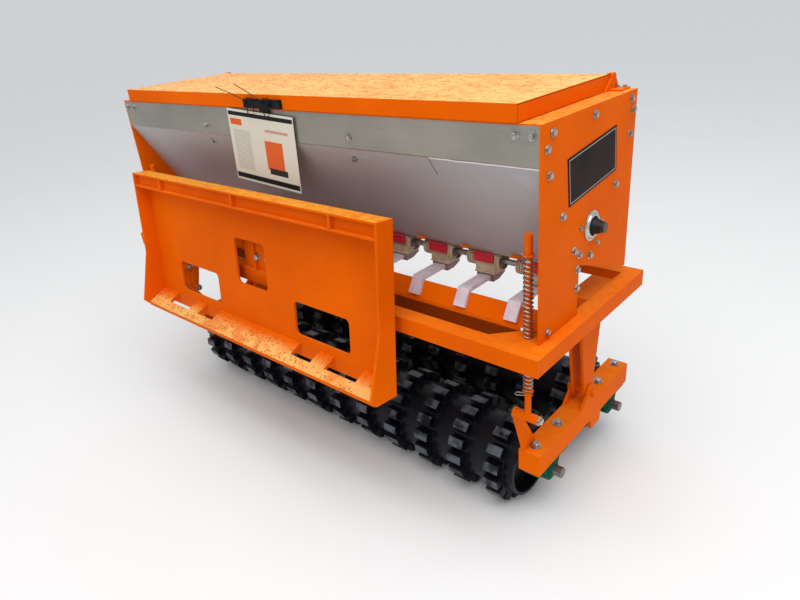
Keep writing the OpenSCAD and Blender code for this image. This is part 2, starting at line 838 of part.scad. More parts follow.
// Rectangle with rounded corners, centred.
module rounded(w, h, r) {
    square([w - 2 * r, h], true);
    square([w, h - 2 * r], true);
    for (x = [r - w / 2, w / 2 - r]) for (y = [r - h / 2, h / 2 - r]) translate([x, y]) circle(r = r);
}

// Leaning sheet with its three windows, folded forward and up under the lip.
module attach_plate() {
    tail = [attach_y, attach_z - sheet_tail];
    color("orange") difference() {
        along_x(attach_x0 + flange_sheet, attach_x1 - flange_sheet)
            polygon([tail, tail + [attach_t, 0], sheet_at(0, -attach_t),
                     sheet_at(box_s + lip_t, -attach_t), sheet_at(box_s + lip_t, lip_wall - lip_t),
                     sheet_at(attach_h - lip_t, lip_wall - lip_t), sheet_at(attach_h - lip_t, lip_wall),
                     sheet_at(box_s + lip_t, lip_wall), sheet_at(box_s + lip_t, lip_reach),
                     sheet_at(box_s + ledge_rise, lip_reach), sheet_at(box_s, 0), sheet_at(0, 0)]);
        for (w = windows)
            translate([plate_x(w[0]), attach_y, attach_z]) rotate([90 - attach_lean, 0, 0])
                translate([0, w[1], -2 * attach_t]) linear_extrude(3 * attach_t)
                    rounded(w[2], w[3], window_round);
    }
}

// Lip along the top that the loader's hooks bear under, with its ribs.
module attach_lip() {
    color("orange") {
        along_x(attach_x0 + flange_sheet, attach_x1 - flange_sheet)
            polygon([sheet_at(attach_h - lip_t, -attach_t), sheet_at(attach_h, -attach_t),
                     sheet_at(attach_h, lip_reach), sheet_at(attach_h - lip_t, lip_reach)]);
        for (x = lip_ribs)
            along_x(plate_x(x) - lip_rib_t / 2, plate_x(x) + lip_rib_t / 2)
                polygon([sheet_at(box_s + lip_t, lip_wall), sheet_at(box_s + lip_t, lip_reach),
                         sheet_at(attach_h - lip_t / 2, lip_reach),
                         sheet_at(attach_h - lip_t / 2, lip_wall)]);
    }
}

// Side flange that widens towards its toe.
module attach_flange() {
    along_x(0, flange_sheet)
        polygon([sheet_at(-sheet_tail, -attach_t), sheet_at(attach_h, -attach_t),
                 sheet_at(attach_h, lip_reach), sheet_at(kink_h, lip_reach),
                 [attach_y - shelf_reach - toe_ahead, attach_z - shelf_fall + toe_rise],
                 [attach_y - shelf_reach, attach_z - shelf_fall - toe_drop]]);
}

module attach_flange_left() {
    color("orange") translate([attach_x0, 0, 0]) attach_flange();
}

module attach_flange_right() {
    color("orange") translate([attach_x1 - flange_sheet, 0, 0]) attach_flange();
}

// Sloped shelf along the foot with the pockets for the loader's wedges.
module attach_shelf() {
    color("orange") difference() {
        along_x(attach_x0 + flange_sheet, attach_x1 - flange_sheet)
            polygon([[attach_y, attach_z], [attach_y - shelf_reach, attach_z - shelf_fall],
                     [attach_y - shelf_reach, attach_z - shelf_fall - shelf_t],
                     [attach_y, attach_z - shelf_t]]);
        for (p = pockets)
            translate([plate_x(p[0]) - p[1] / 2, attach_y - pocket_d, attach_z - 2 * shelf_fall])
                cube([p[1], pocket_d + overlap, 3 * shelf_fall]);
    }
}

// Outline of a bar between two points, round at both.
module strut(a, b, w) {
    n = [a[1] - b[1], b[0] - a[0]] / norm(b - a) * w / 2;
    for (p = [a, b]) translate(p) circle(r = w / 2);
    polygon([a - n, b - n, b + n, a + n]);
}

// Bent hanging links, one on each side, that let the drill float.
module hitch_links() {
    color("orange") for (s = [-1, 1]) translate([s * link_x - attach_shift, 0, 0]) difference() {
        along_x(-link_t / 2, link_t / 2) {
            strut(link_top, link_knee, link_w);
            strut(link_knee, link_low, link_w);
        }
        bar_x(-link_t, link_t, link_top[0], link_top[1], link_pin + pin_clear);
        bar_x(-link_t, link_t, link_low[0], link_low[1], link_pin + pin_clear);
    }
}

// Cheeks under the frame and on the plate's back, with the pins of the links.
module hitch_brackets() {
    x = link_t / 2 + cheek_gap;
    color("orange") {
        for (s = [-1, 1]) translate([s * link_x - attach_shift, 0, 0]) {
            for (x0 = [-x - cheek_t, x]) along_x(x0, x0 + cheek_t) {
                frame_cheek();
                plate_cheek(link_top);
            }
            bar_x(-x - cheek_t - pin_head, x + cheek_t + pin_head, link_top[0], link_top[1], link_pin);
            bar_x(-x - cheek_t - pin_head, x + cheek_t + pin_head, link_low[0], link_low[1], link_pin);
        }
        translate([-attach_shift, 0, 0]) {
            for (x0 = [-post_x - cheek_t, post_x]) along_x(x0, x0 + cheek_t) {
                translate(post_pin) circle(r = link_w / 2);
                polygon([[frame_front, frame_z], [frame_front + beam_flange, frame_z],
                         post_pin + [link_w / 2, 0], post_pin - [link_w / 2, 0]]);
            }
            for (x0 = [cheek_gap - post_x, post_x - cheek_t - cheek_gap]) along_x(x0, x0 + cheek_t)
                plate_cheek(post_pin);
            bar_x(-post_x - cheek_t - pin_head, post_x + cheek_t + pin_head,
                  post_pin[0], post_pin[1], link_pin);
            translate([-post_plate_w / 2, frame_front + post_plate_back, frame_z])
                cube([post_plate_w, cheek_t, post_plate_h]);
        }
    }
}

// Cheek that hangs inside the front beam down to a link's lower pin.
module frame_cheek() {
    back = frame_front + beam_t;
    translate(link_low) circle(r = link_w / 2);
    polygon([[back, frame_z - beam_t], [frame_front + beam_flange, frame_z - beam_t],
             link_low + [link_w / 2, 0], link_low - [link_w / 2, 0], [frame_front, beam_z],
             [back, beam_z]]);
}

// Cheek from the attachment plate's back to a pin.
module plate_cheek(pin) {
    z0 = pin[1] - link_w / 2;
    z1 = pin[1] + link_w / 2;
    translate(pin) circle(r = link_w / 2);
    polygon([[sheet_back(z0), z0], [pin[0], z0], [pin[0], z1], [sheet_back(z1), z1]]);
}

frame_front();
frame_rear();
frame_side_left();
frame_side_right();
end_plate_left();
end_plate_right();
hopper_rim();
hopper_front_sheet();
hopper_back_sheet();
hopper_floor();
lid();
lid_hinges();
latch();
name_plaque();
spec_card();
seed_meters();
meter_shutters();
meter_shaft();
meter_boxes();
seed_tubes();
seed_deflector();
agitator();
shaft_bearings();
arm_left();
arm_right();
arm_brackets();
pillow_blocks();
lift_rods();
rod_springs();
roller_front();
roller_rear();
attach_plate();
attach_lip();
attach_flange_left();
attach_flange_right();
attach_shelf();
hitch_links();
hitch_brackets();
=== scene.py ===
"""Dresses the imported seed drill: finishes, fasteners, coils, labels, water, stage, lights and camera."""
from __future__ import annotations

import logging
import math
import sys
from dataclasses import dataclass, field, replace
from enum import Enum
from typing import Optional, Sequence, Union

import bmesh
import bpy
from mathutils import Matrix, Vector


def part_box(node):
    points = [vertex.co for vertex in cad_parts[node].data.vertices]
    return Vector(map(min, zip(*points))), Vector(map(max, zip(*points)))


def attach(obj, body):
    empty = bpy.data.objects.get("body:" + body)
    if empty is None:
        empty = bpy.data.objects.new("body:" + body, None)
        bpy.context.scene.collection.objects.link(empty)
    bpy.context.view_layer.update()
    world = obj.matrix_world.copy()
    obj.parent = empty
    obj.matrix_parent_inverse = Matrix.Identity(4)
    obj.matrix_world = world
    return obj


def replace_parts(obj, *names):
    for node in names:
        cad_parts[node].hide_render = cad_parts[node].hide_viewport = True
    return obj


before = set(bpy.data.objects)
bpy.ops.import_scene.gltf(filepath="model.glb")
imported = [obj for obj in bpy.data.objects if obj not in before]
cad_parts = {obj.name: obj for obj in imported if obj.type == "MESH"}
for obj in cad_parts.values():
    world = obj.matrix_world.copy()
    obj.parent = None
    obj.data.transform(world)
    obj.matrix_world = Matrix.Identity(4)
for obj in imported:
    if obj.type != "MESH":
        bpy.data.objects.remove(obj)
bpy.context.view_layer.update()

LOG = logging.getLogger("seed_drill")
MM = 0.001
Pair = tuple[float, float]
Point = tuple[float, float, float]
Colour = tuple[float, float, float]
Value = Union["Signal", float]
Paint = Union["Signal", Colour]
Settings = Optional[dict[str, object]]
Sockets = Optional[dict[Union[str, int], object]]

ZERO: Point = (0.0, 0.0, 0.0)
ONE: Point = (1.0, 1.0, 1.0)
UP: Point = (0.0, 0.0, 1.0)
TO_FRONT: Point = (0.0, -1.0, 0.0)
SIDES = (1.0, -1.0)
SQUARE = (0, 1, 2, 3)
AGITATOR_AXIS: Pair = (0.008, 0.828)
METER_AXIS: Pair = (-0.035, 0.710)
METERS_X = tuple(-0.765 + 0.150 * i for i in range(11))
LID_FRONT = -0.232
LID_TOP = 1.1433


class Body(Enum):
    """The bodies that the new pieces ride on."""

    MACHINE = "machine"
    LID = "lid"


class Slot(Enum):
    """The record's material slots."""

    ORANGE = "orange_paint"
    STAINLESS = "stainless_sheet"
    BLACK_PLASTIC = "black_plastic"
    PLAQUE = "black_plaque"
    CARD = "white_card"
    BEIGE = "beige_plastic"
    RED = "red_plastic"
    RIBBED = "ribbed_plastic"
    SMOKED = "smoked_plastic"
    CLEAR = "clear_tube"
    BRIGHT = "bright_steel"
    PRESSED = "pressed_steel"
    GREEN = "green_iron"
    SPRING = "plated_spring"
    IRON = "black_iron"


# Node trees


class Tree:
    """A node tree under construction."""

    def __init__(self, tree: bpy.types.NodeTree) -> None:
        """Empties the tree and keeps it."""
        tree.nodes.clear()
        self.tree = tree

    def node(self, kind: str, settings: Settings = None, sockets: Sockets = None) -> bpy.types.Node:
        """Adds a node.

        Args:
            kind: The node's type.
            settings: Its settings, which are set first. A ramp takes its list of stops under "stops".
            sockets: The values or links of its sockets, by name or number.

        Returns:
            The node.
        """
        made = self.tree.nodes.new(kind)
        for key, value in (settings or {}).items():
            if key != "stops":
                setattr(made, key, value)
                continue
            stops = made.color_ramp.elements
            while len(stops) < len(value):
                stops.new(1.0)
            for stop, (place, colour) in zip(stops, value):
                stop.position = place
                stop.color = (*colour, 1.0)
        for key, value in (sockets or {}).items():
            self.feed(made.inputs[key], value)
        return made

    def feed(self, target: bpy.types.NodeSocket, value: object) -> None:
        """Gives a socket its value or its links.

        Args:
            target: The socket.
            value: A plain value, a signal, a socket, a node for its first output, or a list of nodes.
        """
        for source in value if isinstance(value, list) else [value]:
            if isinstance(source, Signal):
                source = source.socket
            elif isinstance(source, bpy.types.Node):
                source = source.outputs[0]
            if isinstance(source, bpy.types.NodeSocket):
                self.tree.links.new(source, target)
            elif isinstance(source, tuple) and target.type == "RGBA":
                target.default_value = (*source, 1.0)
            else:
                target.default_value = source


class Signal:
    """A shader socket that takes part in Python arithmetic."""

    def __init__(self, shader: Shader, socket: bpy.types.NodeSocket) -> None:
        """Keeps the socket and the shader that it belongs to."""
        self.shader = shader
        self.socket = socket

    def _math(self, operation: str, first: Value, second: Value = 0.0) -> Signal:
        """Adds one Math node.

        Args:
            operation: The node's operation.
            first: The value of its first socket.
            second: The value of its second socket.

        Returns:
            The node's result.
        """
        return self.shader.signal("ShaderNodeMath", {"operation": operation}, {0: first, 1: second})

    def __add__(self, other: Value) -> Signal:
        """Returns the sum."""
        return self._math("ADD", self, other)

    __radd__ = __add__

    def __sub__(self, other: Value) -> Signal:
        """Returns the difference."""
        return self._math("SUBTRACT", self, other)

    def __rsub__(self, other: Value) -> Signal:
        """Returns the reflected difference."""
        return self._math("SUBTRACT", other, self)

    def __mul__(self, other: Value) -> Signal:
        """Returns the product."""
        return self._math("MULTIPLY", self, other)

    __rmul__ = __mul__

    def __gt__(self, other: Value) -> Signal:
        """Returns 1 where this value is greater."""
        return self._math("GREATER_THAN", self, other)

    def __lt__(self, other: Value) -> Signal:
        """Returns 1 where this value is less."""
        return self._math("LESS_THAN", self, other)

    def most(self, other: Value) -> Signal:
        """Returns the larger of two values."""
        return self._math("MAXIMUM", self, other)

    def size(self) -> Signal:
        """Returns the value without its sign."""
        return self._math("ABSOLUTE", self)

    def sine(self) -> Signal:
        """Returns the sine of the value."""
        return self._math("SINE", self)

    def step(self, low: float, high: float) -> Signal:
        """Returns a smooth step.

        Args:
            low: The value at which the step starts.
            high: The value at which it ends. It may be below low, which turns the step round.

        Returns:
            0 before low and 1 after high.
        """
        return self.shader.signal(
            "ShaderNodeMapRange",
            {"interpolation_type": "SMOOTHSTEP"},
            {"Value": self, "From Min": low, "From Max": high, "To Min": 0.0, "To Max": 1.0},
        )

    def between(self, low: float, high: float) -> Signal:
        """Returns 1 between two values."""
        return (self > low) * (self < high)


class Shader(Tree):
    """A material under construction, with the groups of nodes that the finishes share."""

    def __init__(self, name: str) -> None:
        """Makes a material that holds a Principled shader.

        Args:
            name: The material's name.
        """
        self.material = bpy.data.materials.new(name)
        self.material.use_nodes = True
        super().__init__(self.material.node_tree)
        self.surface = self.node("ShaderNodeBsdfPrincipled")
        self.node("ShaderNodeOutputMaterial", None, {"Surface": self.surface})
        self.coordinates = self.node("ShaderNodeTexCoord").outputs

    def signal(
        self, kind: str, settings: Settings = None, sockets: Sockets = None, output: Union[str, int] = 0
    ) -> Signal:
        """Adds a node and keeps one of its outputs.

        Args:
            kind: The node's type.
            settings: Its settings, which are set first.
            sockets: The values or links of its sockets.
            output: The output's name or number.

        Returns:
            The output.
        """
        return Signal(self, self.node(kind, settings, sockets).outputs[output])

    def split(self, vector: object) -> tuple[Signal, Signal, Signal]:
        """Returns a vector's three parts."""
        x, y, z = self.node("ShaderNodeSeparateXYZ", None, {0: vector}).outputs
        return Signal(self, x), Signal(self, y), Signal(self, z)

    def place(self) -> tuple[Signal, Signal, Signal]:
        """Returns the object coordinates in metres."""
        return self.split(self.coordinates["Object"])

    def reach(self, axis: Pair) -> Signal:
        """Returns the squared distance from an axis along x.

        Args:
            axis: The axis's y and z.

        Returns:
            The square of the distance in metres.
        """
        _, y, z = self.place()
        across, up = y - axis[0], z - axis[1]
        return across * across + up * up

    def facing_up(self) -> Signal:
        """Returns 1 where the surface faces up at rest."""
        return self.split(self.coordinates["Normal"])[2].step(0.75, 0.95)

    def mapped(
        self, scale: Point = ONE, turn: Point = ZERO, shift: Point = ZERO, vector: Optional[Signal] = None
    ) -> Signal:
        """Returns coordinates that are stretched, turned and then shifted.

        Args:
            scale: The stretch along each axis.
            turn: The turn about each axis, in radians.
            shift: The shift, in metres.
            vector: Coordinates other than the object's own.

        Returns:
            The new coordinates.
        """
        where = self.coordinates["Object"] if vector is None else vector
        return self.signal(
            "ShaderNodeMapping", None, {"Vector": where, "Location": shift, "Rotation": turn, "Scale": scale}
        )

    def noise(
        self, scale: float, detail: float = 3.0, roughness: float = 0.5, twist: float = 0.0,
        vector: Optional[Signal] = None,
    ) -> Signal:
        """Returns smooth noise.

        Args:
            scale: Its grain, per metre.
            detail: Its number of octaves.
            roughness: The share of the finer octaves.
            twist: How far it is distorted.
            vector: Coordinates other than the object's own.

        Returns:
            A value from 0 to 1.
        """
        where = self.coordinates["Object"] if vector is None else vector
        return self.signal(
            "ShaderNodeTexNoise",
            None,
            {"Vector": where, "Scale": scale, "Detail": detail, "Roughness": roughness, "Distortion": twist},
        )

    def cells(self, scale: float) -> Signal:
        """Returns the distance from the nearest of the points that are strewn at a number per metre."""
        sockets = {"Vector": self.coordinates["Object"], "Scale": scale}
        return self.signal("ShaderNodeTexVoronoi", None, sockets, "Distance")

    def mix(self, share: Value, first: Paint, second: Paint) -> Signal:
        """Returns a blend of two colours.

        Args:
            share: The share of the second one.
            first: The first colour.
            second: The second colour.

        Returns:
            The blended colour.
        """
        return self.signal("ShaderNodeMix", {"data_type": "RGBA"}, {0: share, 6: first, 7: second}, 2)

    def soft_normal(self, radius: float) -> Signal:
        """Returns a normal that rounds the edges off."""
        return self.signal("ShaderNodeBevel", {"samples": 4}, {"Radius": radius})

    def edges(self, normal: Signal) -> Signal:
        """Finds the edges that a soft normal rounds off.

        Args:
            normal: The soft normal.

        Returns:
            1 along the edges and 0 elsewhere.
        """
        true = self.node("ShaderNodeNewGeometry").outputs["True Normal"]
        same = self.signal("ShaderNodeVectorMath", {"operation": "DOT_PRODUCT"}, {0: normal, 1: true}, "Value")
        return (1.0 - same).step(0.01, 0.2)

    def relief(self, height: Value, distance: float, normal: Optional[Signal] = None) -> Signal:
        """Returns a bumped normal.

        Args:
            height: The height, from 0 to 1.
            distance: The height in metres that 1 stands for.
            normal: The normal that it starts from, where it isn't the surface's own.

        Returns:
            The new normal.
        """
        sockets = {"Height": height, "Strength": 1.0, "Distance": distance}
        if normal is not None:
            sockets["Normal"] = normal
        return self.signal("ShaderNodeBump", None, sockets)

    def set(self, **sockets: object) -> None:
        """Feeds the Principled shader's sockets, whose names have their spaces as underscores."""
        for key, value in sockets.items():
            self.feed(self.surface.inputs[key.replace("_", " ")], value)


# Finishes


@dataclass(frozen=True)
class Finish:
    """A surface finish, whose material is made once."""

    name: str
    slot: Optional[Slot]  # None for the stage

    def material(self) -> bpy.types.Material:
        """Makes the finish's material at the first call.

        Returns:
            The material.
        """
        known = bpy.data.materials.get(self.name)
        if known is not None:
            return known
        shader = Shader(self.name)
        self.paint(shader)
        return shader.material

    def paint(self, shader: Shader) -> None:
        """Builds the finish's nodes in a material."""
        raise NotImplementedError


@dataclass(frozen=True)
class OrangePaint(Finish):
    """Glossy powder coat with its fine peel, scuffed edges with a painted highlight, road dust and, on upward faces,
    rain with a painted sky reflection; some finishes add painted shadows and the painted shade of water drops.
    """

    lit: Colour = (0.85, 0.136, 0.001)
    deep: Colour = (0.72, 0.102, 0.001)
    # Paler edge colour: wear and a painted highlight.
    rubbed_and_highlit: Colour = (0.95, 0.26, 0.04)
    dust: Colour = (0.22, 0.10, 0.05)
    # Painted sky reflection on rain-covered upward faces.
    painted_sheen: Colour = (0.82, 0.50, 0.15)
    # Painted shade of the water drops.
    bead_shade: Colour = (0.36, 0.09, 0.01)
    grime: float = 0.10
    # How much of the painted sky reflection the upward faces carry.
    rain: float = 0.0
    grain: float = 60.0
    # The painted sky reflection starts and fills in along y with the rain.
    lead: Optional[Pair] = None  # y where the rain starts, and y where it is full
    beads: float = 0.0
    bead_grain: float = 64.0
    # Painted shadow: below this z the paint is darkened as the shade under the board.
    hollow: Optional[float] = None  # z below which the paint lies in a dark hollow
    hollow_shadow_tone: Colour = (0.045, 0.006, 0.0004)
    # Painted shadow of the lid's edge on the paint beside it.
    lip: Optional[float] = None  # x at which the lid's edge shades the paint
    lid_shadow_tone: Colour = (0.12, 0.012, 0.001)
    fold: Optional[Pair] = None  # y and z of the folded edge
    fold_tone: Colour = (0.20, 0.022, 0.001)
    edge_radius: float = 2.2 * MM
    peel: float = 0.12 * MM
    ior: float = 1.06

    def wet(self, shader: Shader) -> Signal:
        """Returns the share of painted sky reflection that rain carries on upward faces.

        Args:
            shader: The material under construction.

        Returns:
            A value from 0 to 1.
        """
        fine = shader.noise(self.grain, 4.0, 0.62, 0.5, shader.mapped((0.55, 1.0, 1.0), (0.0, 0.0, 0.75)))
        broad = shader.noise(3.2, 3.0, 0.6).step(0.32, 0.66)
        share = (0.34 + 0.20 * broad + 0.46 * fine.step(0.38, 0.56)) * shader.facing_up() * self.rain
        return share if self.lead is None else share * shader.place()[1].step(*self.lead)

    def shaded(self, shader: Shader, base: Signal) -> Signal:
        """Paints shade: the shadow low in the hollow, the lid's shadow past its edge, and a dark line along the
        fold.

        Args:
            shader: The material under construction.
            base: The paint's colour.

        Returns:
            The new colour.
        """
        x, y, z = shader.place()
        # Painted shadow low on the board.
        if self.hollow is not None:
            inside = z.step(self.hollow, self.hollow - 4.0 * MM)
            base = shader.mix(inside * 0.8, base, self.hollow_shadow_tone)
        # Painted shadow of the lid's edge, along a ragged line.
        if self.lip is not None:
            shadow_width = shader.noise(170.0, 2.0).step(0.36, 0.60) * (2.2 * MM) + 0.6 * MM
            past = x.size() - self.lip
            under = (past > -2.0 * MM) * (past < shadow_width) * shader.facing_up()
            base = shader.mix(under * 0.85, base, self.lid_shadow_tone)
        if self.fold is not None:
            front, top = self.fold
            corner = y.between(front + 0.4 * MM, front + 2.2 * MM) * (z < top - 3.0 * MM)
            brim = z.between(top - 3.4 * MM, top - 1.4 * MM) * (y > front + 0.4 * MM)
            base = shader.mix(corner.most(brim) * 0.75, base, self.fold_tone)
        return base

    def paint(self, shader: Shader) -> None:
        """Builds the finish's nodes.

        Args:
            shader: The material under construction.
        """
        soft = shader.soft_normal(self.edge_radius)
        # Paler edges: wear with a painted highlight.
        edge = shader.edges(soft) * shader.noise(38.0).step(0.35, 0.62)
        base = shader.mix(shader.noise(1.7, 4.0, 0.6).step(0.3, 0.7), self.deep, self.lit)
        base = shader.mix(edge * 0.5, base, self.rubbed_and_highlit)
        dust = shader.noise(9.0, 5.0, 0.65).step(0.52, 0.78) * self.grime
        base = shader.mix(dust, base, self.dust)
        height = shader.noise(520.0, 1.0)
        rough = 0.30 + dust * 0.6 + shader.noise(14.0) * 0.12
        # Painted sky reflection on rain-covered upward faces.
        if self.rain > 0.0:
            film = self.wet(shader)
            base = shader.mix(film, base, self.painted_sheen)
            rough = rough - film * 0.15
            height = height + film * 1.2
        # Dark spots paint the shade of water drops.
        if self.beads > 0.0:
            spread = shader.cells(self.bead_grain).step(0.34, 0.22)
            spot = spread * (shader.noise(13.0, 2.0) > 0.42) * shader.facing_up()
            base = shader.mix(spot * self.beads, base, self.bead_shade)
            height = height + spot * 4.0
        shader.set(
            Base_Color=self.shaded(shader, base),
            Roughness=rough,
            IOR=self.ior,
            Normal=shader.relief(height, self.peel, soft),
        )


@dataclass(frozen=True)
class HopperSheet(Finish):
    """Rolled stainless steel, which may still carry its protective film below a ragged edge, with a painted
    highlight along the lifted, torn part of that edge.
    """

    steel: Colour = (0.42, 0.39, 0.33)
    steel_dark: Colour = (0.25, 0.245, 0.215)
    film: Colour = (0.365, 0.34, 0.335)
    film_pale: Colour = (0.42, 0.445, 0.46)
    crease: Colour = (0.50, 0.51, 0.53)
    # Painted highlight along the lifted film edge.
    peeled_highlight: Colour = (0.86, 0.86, 0.86)
    cut: Colour = (0.05, 0.045, 0.045)
    film_edge: Optional[float] = None  # z of the film's upper edge
    ragged: float = 4.0 * MM
    tear: float = 0.550  # x at which the edge is torn
    tear_lean: float = 0.11
    tear_depth: float = 46.0 * MM
    metal: float = 0.75

    def paint(self, shader: Shader) -> None:
        """Builds the finish's nodes.

        Args:
            shader: The material under construction.
        """
        rolled = shader.noise(5.0, 5.0, 0.6, 0.0, shader.mapped((0.7, 3.0, 60.0)))
        stain = shader.noise(4.0, 4.0, 0.6).step(0.3, 0.7)
        base = shader.mix(rolled * 0.55 + stain * 0.45, self.steel_dark, self.steel)
        rough = 0.34 + rolled * 0.16
        height = rolled * 0.12
        metal: Value = self.metal
        if self.film_edge is not None:
            x, _, z = shader.place()
            depth = self.film_edge + (shader.noise(30.0, 2.0) - 0.5) * self.ragged - z
            on = depth.step(0.0, 1.2 * MM)
            folds = shader.noise(7.0, 3.0, 0.55, 0.8, shader.mapped((0.55, 1.0, 1.9), (0.0, 0.35, 0.0)))
            cloud = shader.noise(2.6, 3.0, 0.5) * 0.5 + x * x * 0.35 + (z - 0.75) * 1.1
            pale = shader.mix(cloud.step(0.35, 0.85), self.film, self.film_pale)
            pale = shader.mix(folds.step(0.62, 0.72) * 0.35, pale, self.crease)
            base = shader.mix(on, base, pale)
            # Painted highlight along the lifted film edge.
            peeled_highlight = depth.between(0.0, 3.4 * MM) * (x > self.tear)
            base = shader.mix(peeled_highlight * 0.9, base, self.peeled_highlight)
            slit = (x - self.tear - (self.film_edge - z) * self.tear_lean).size() < 1.6 * MM
            slit = slit * (z > self.film_edge - self.tear_depth) * on
            base = shader.mix(slit * 0.8, base, self.cut)
            rough = rough * (1.0 - on) + on * (0.42 + folds * 0.15)
            metal = self.metal - on * 0.6
            height = height + on * (0.6 + folds * 1.5)
        shader.set(
            Base_Color=base,
            Roughness=rough,
            Metallic=metal,
            Normal=shader.relief(height, 0.4 * MM, shader.soft_normal(0.8 * MM)),
        )


@dataclass(frozen=True)
class BlackIron(Finish):
    """Black enamel over a cast roller, dusty in patches, with wear on its edges and at the lugs' tips, which are
    paler and bluish from wear and a painted sky highlight.
    """

    axis: Pair
    enamel: Colour = (0.0026, 0.0032, 0.0056)
    # Paler bluish edge colour: wear with a painted sky highlight.
    rubbed_and_highlit: Colour = (0.055, 0.064, 0.082)
    dust: Colour = (0.011, 0.013, 0.017)
    # Paler bluish lug tips: wear with a painted sky highlight.
    worn_and_sky_lit: Colour = (0.115, 0.130, 0.155)
    shaft: tuple[Colour, Colour] = ((0.10, 0.095, 0.09), (0.24, 0.23, 0.22))
    tip_radius: float = 0.1335
    shaft_radius: float = 0.020
    shaft_x: float = 0.745
    ior: float = 1.26

    def paint(self, shader: Shader) -> None:
        """Builds the finish's nodes.

        Args:
            shader: The material under construction.
        """
        soft = shader.soft_normal(2.0 * MM)
        # Paler bluish edges and lug tips: wear with a painted sky highlight.
        edge = shader.edges(soft) * shader.noise(60.0, 4.0).step(0.3, 0.6)
        cloud = shader.noise(12.0, 5.0, 0.62)
        base = shader.mix(cloud.step(0.48, 0.75) * 0.55, self.enamel, self.dust)
        base = shader.mix(edge * 0.7, base, self.rubbed_and_highlit)
        reach = shader.reach(self.axis)
        tips = (reach > self.tip_radius**2) * shader.noise(24.0, 3.0).step(0.38, 0.62)
        base = shader.mix(tips * 0.75, base, self.worn_and_sky_lit)
        bare = (reach < self.shaft_radius**2) * (shader.place()[0].size() > self.shaft_x)
        shader.set(
            Base_Color=shader.mix(bare, base, shader.mix(cloud, *self.shaft)),
            Metallic=bare * 0.85,
            Roughness=0.24 + cloud * 0.25 - edge * 0.05,
            IOR=self.ior,
            Normal=shader.relief(shader.noise(260.0, 2.0), 0.2 * MM, soft),
        )


@dataclass(frozen=True)
class PlatedSteel(Finish):
    """Zinc or nickel plate with faint clouds and fine scratches."""

    bright: Colour = (0.56, 0.55, 0.52)
    dull: Colour = (0.27, 0.265, 0.25)
    roughness: float = 0.20

    def paint(self, shader: Shader) -> None:
        """Builds the finish's nodes.

        Args:
            shader: The material under construction.
        """
        cloud = shader.noise(90.0, 4.0, 0.6)
        scratch = shader.noise(40.0, 4.0, 0.7, 0.0, shader.mapped((1.0, 8.0, 14.0)))
        shader.set(
            Base_Color=shader.mix(cloud.step(0.3, 0.72), self.dull, self.bright),
            Roughness=self.roughness + cloud * 0.16,
            Metallic=0.95,
            Normal=shader.relief(scratch, 0.08 * MM, shader.soft_normal(0.6 * MM)),
        )


@dataclass(frozen=True)
class MouldedPlastic(Finish):
    """Moulded plastic with its grain, cloudy tone, painted highlights along its edges and, on the meters, a painted
    shade in the hollow about their axis.
    """

    tone: Colour
    shade: Colour
    roughness: float
    alpha: float = 1.0
    ior: float = 1.45
    # Painted shade in the hollow about the meters' axis.
    hollow_shade_radius: float = 0.0  # the radius of the dark hollow about the meters' axis
    hollow_shade_tone: Colour = (0.07, 0.055, 0.035)

    def paint(self, shader: Shader) -> None:
        """Builds the finish's nodes.

        Args:
            shader: The material under construction.
        """
        soft = shader.soft_normal(0.8 * MM)
        cloud = shader.noise(34.0, 4.0, 0.6)
        # Painted highlight along the edges.
        edge_highlight = tuple(min(1.0, c * 1.5 + 0.02) for c in self.tone)
        base = shader.mix(cloud.step(0.3, 0.7), self.shade, self.tone)
        base = shader.mix(shader.edges(soft) * 0.5, base, edge_highlight)
        # Painted shade in the hollow about the meters' axis.
        if self.hollow_shade_radius > 0.0:
            inside = shader.reach(METER_AXIS) < self.hollow_shade_radius**2
            base = shader.mix(inside * 0.85, base, self.hollow_shade_tone)
        shader.set(
            Base_Color=base,
            Roughness=self.roughness + cloud * 0.14,
            Normal=shader.relief(shader.noise(700.0, 1.0), 0.05 * MM, soft),
            IOR=self.ior,
            Alpha=self.alpha,
        )


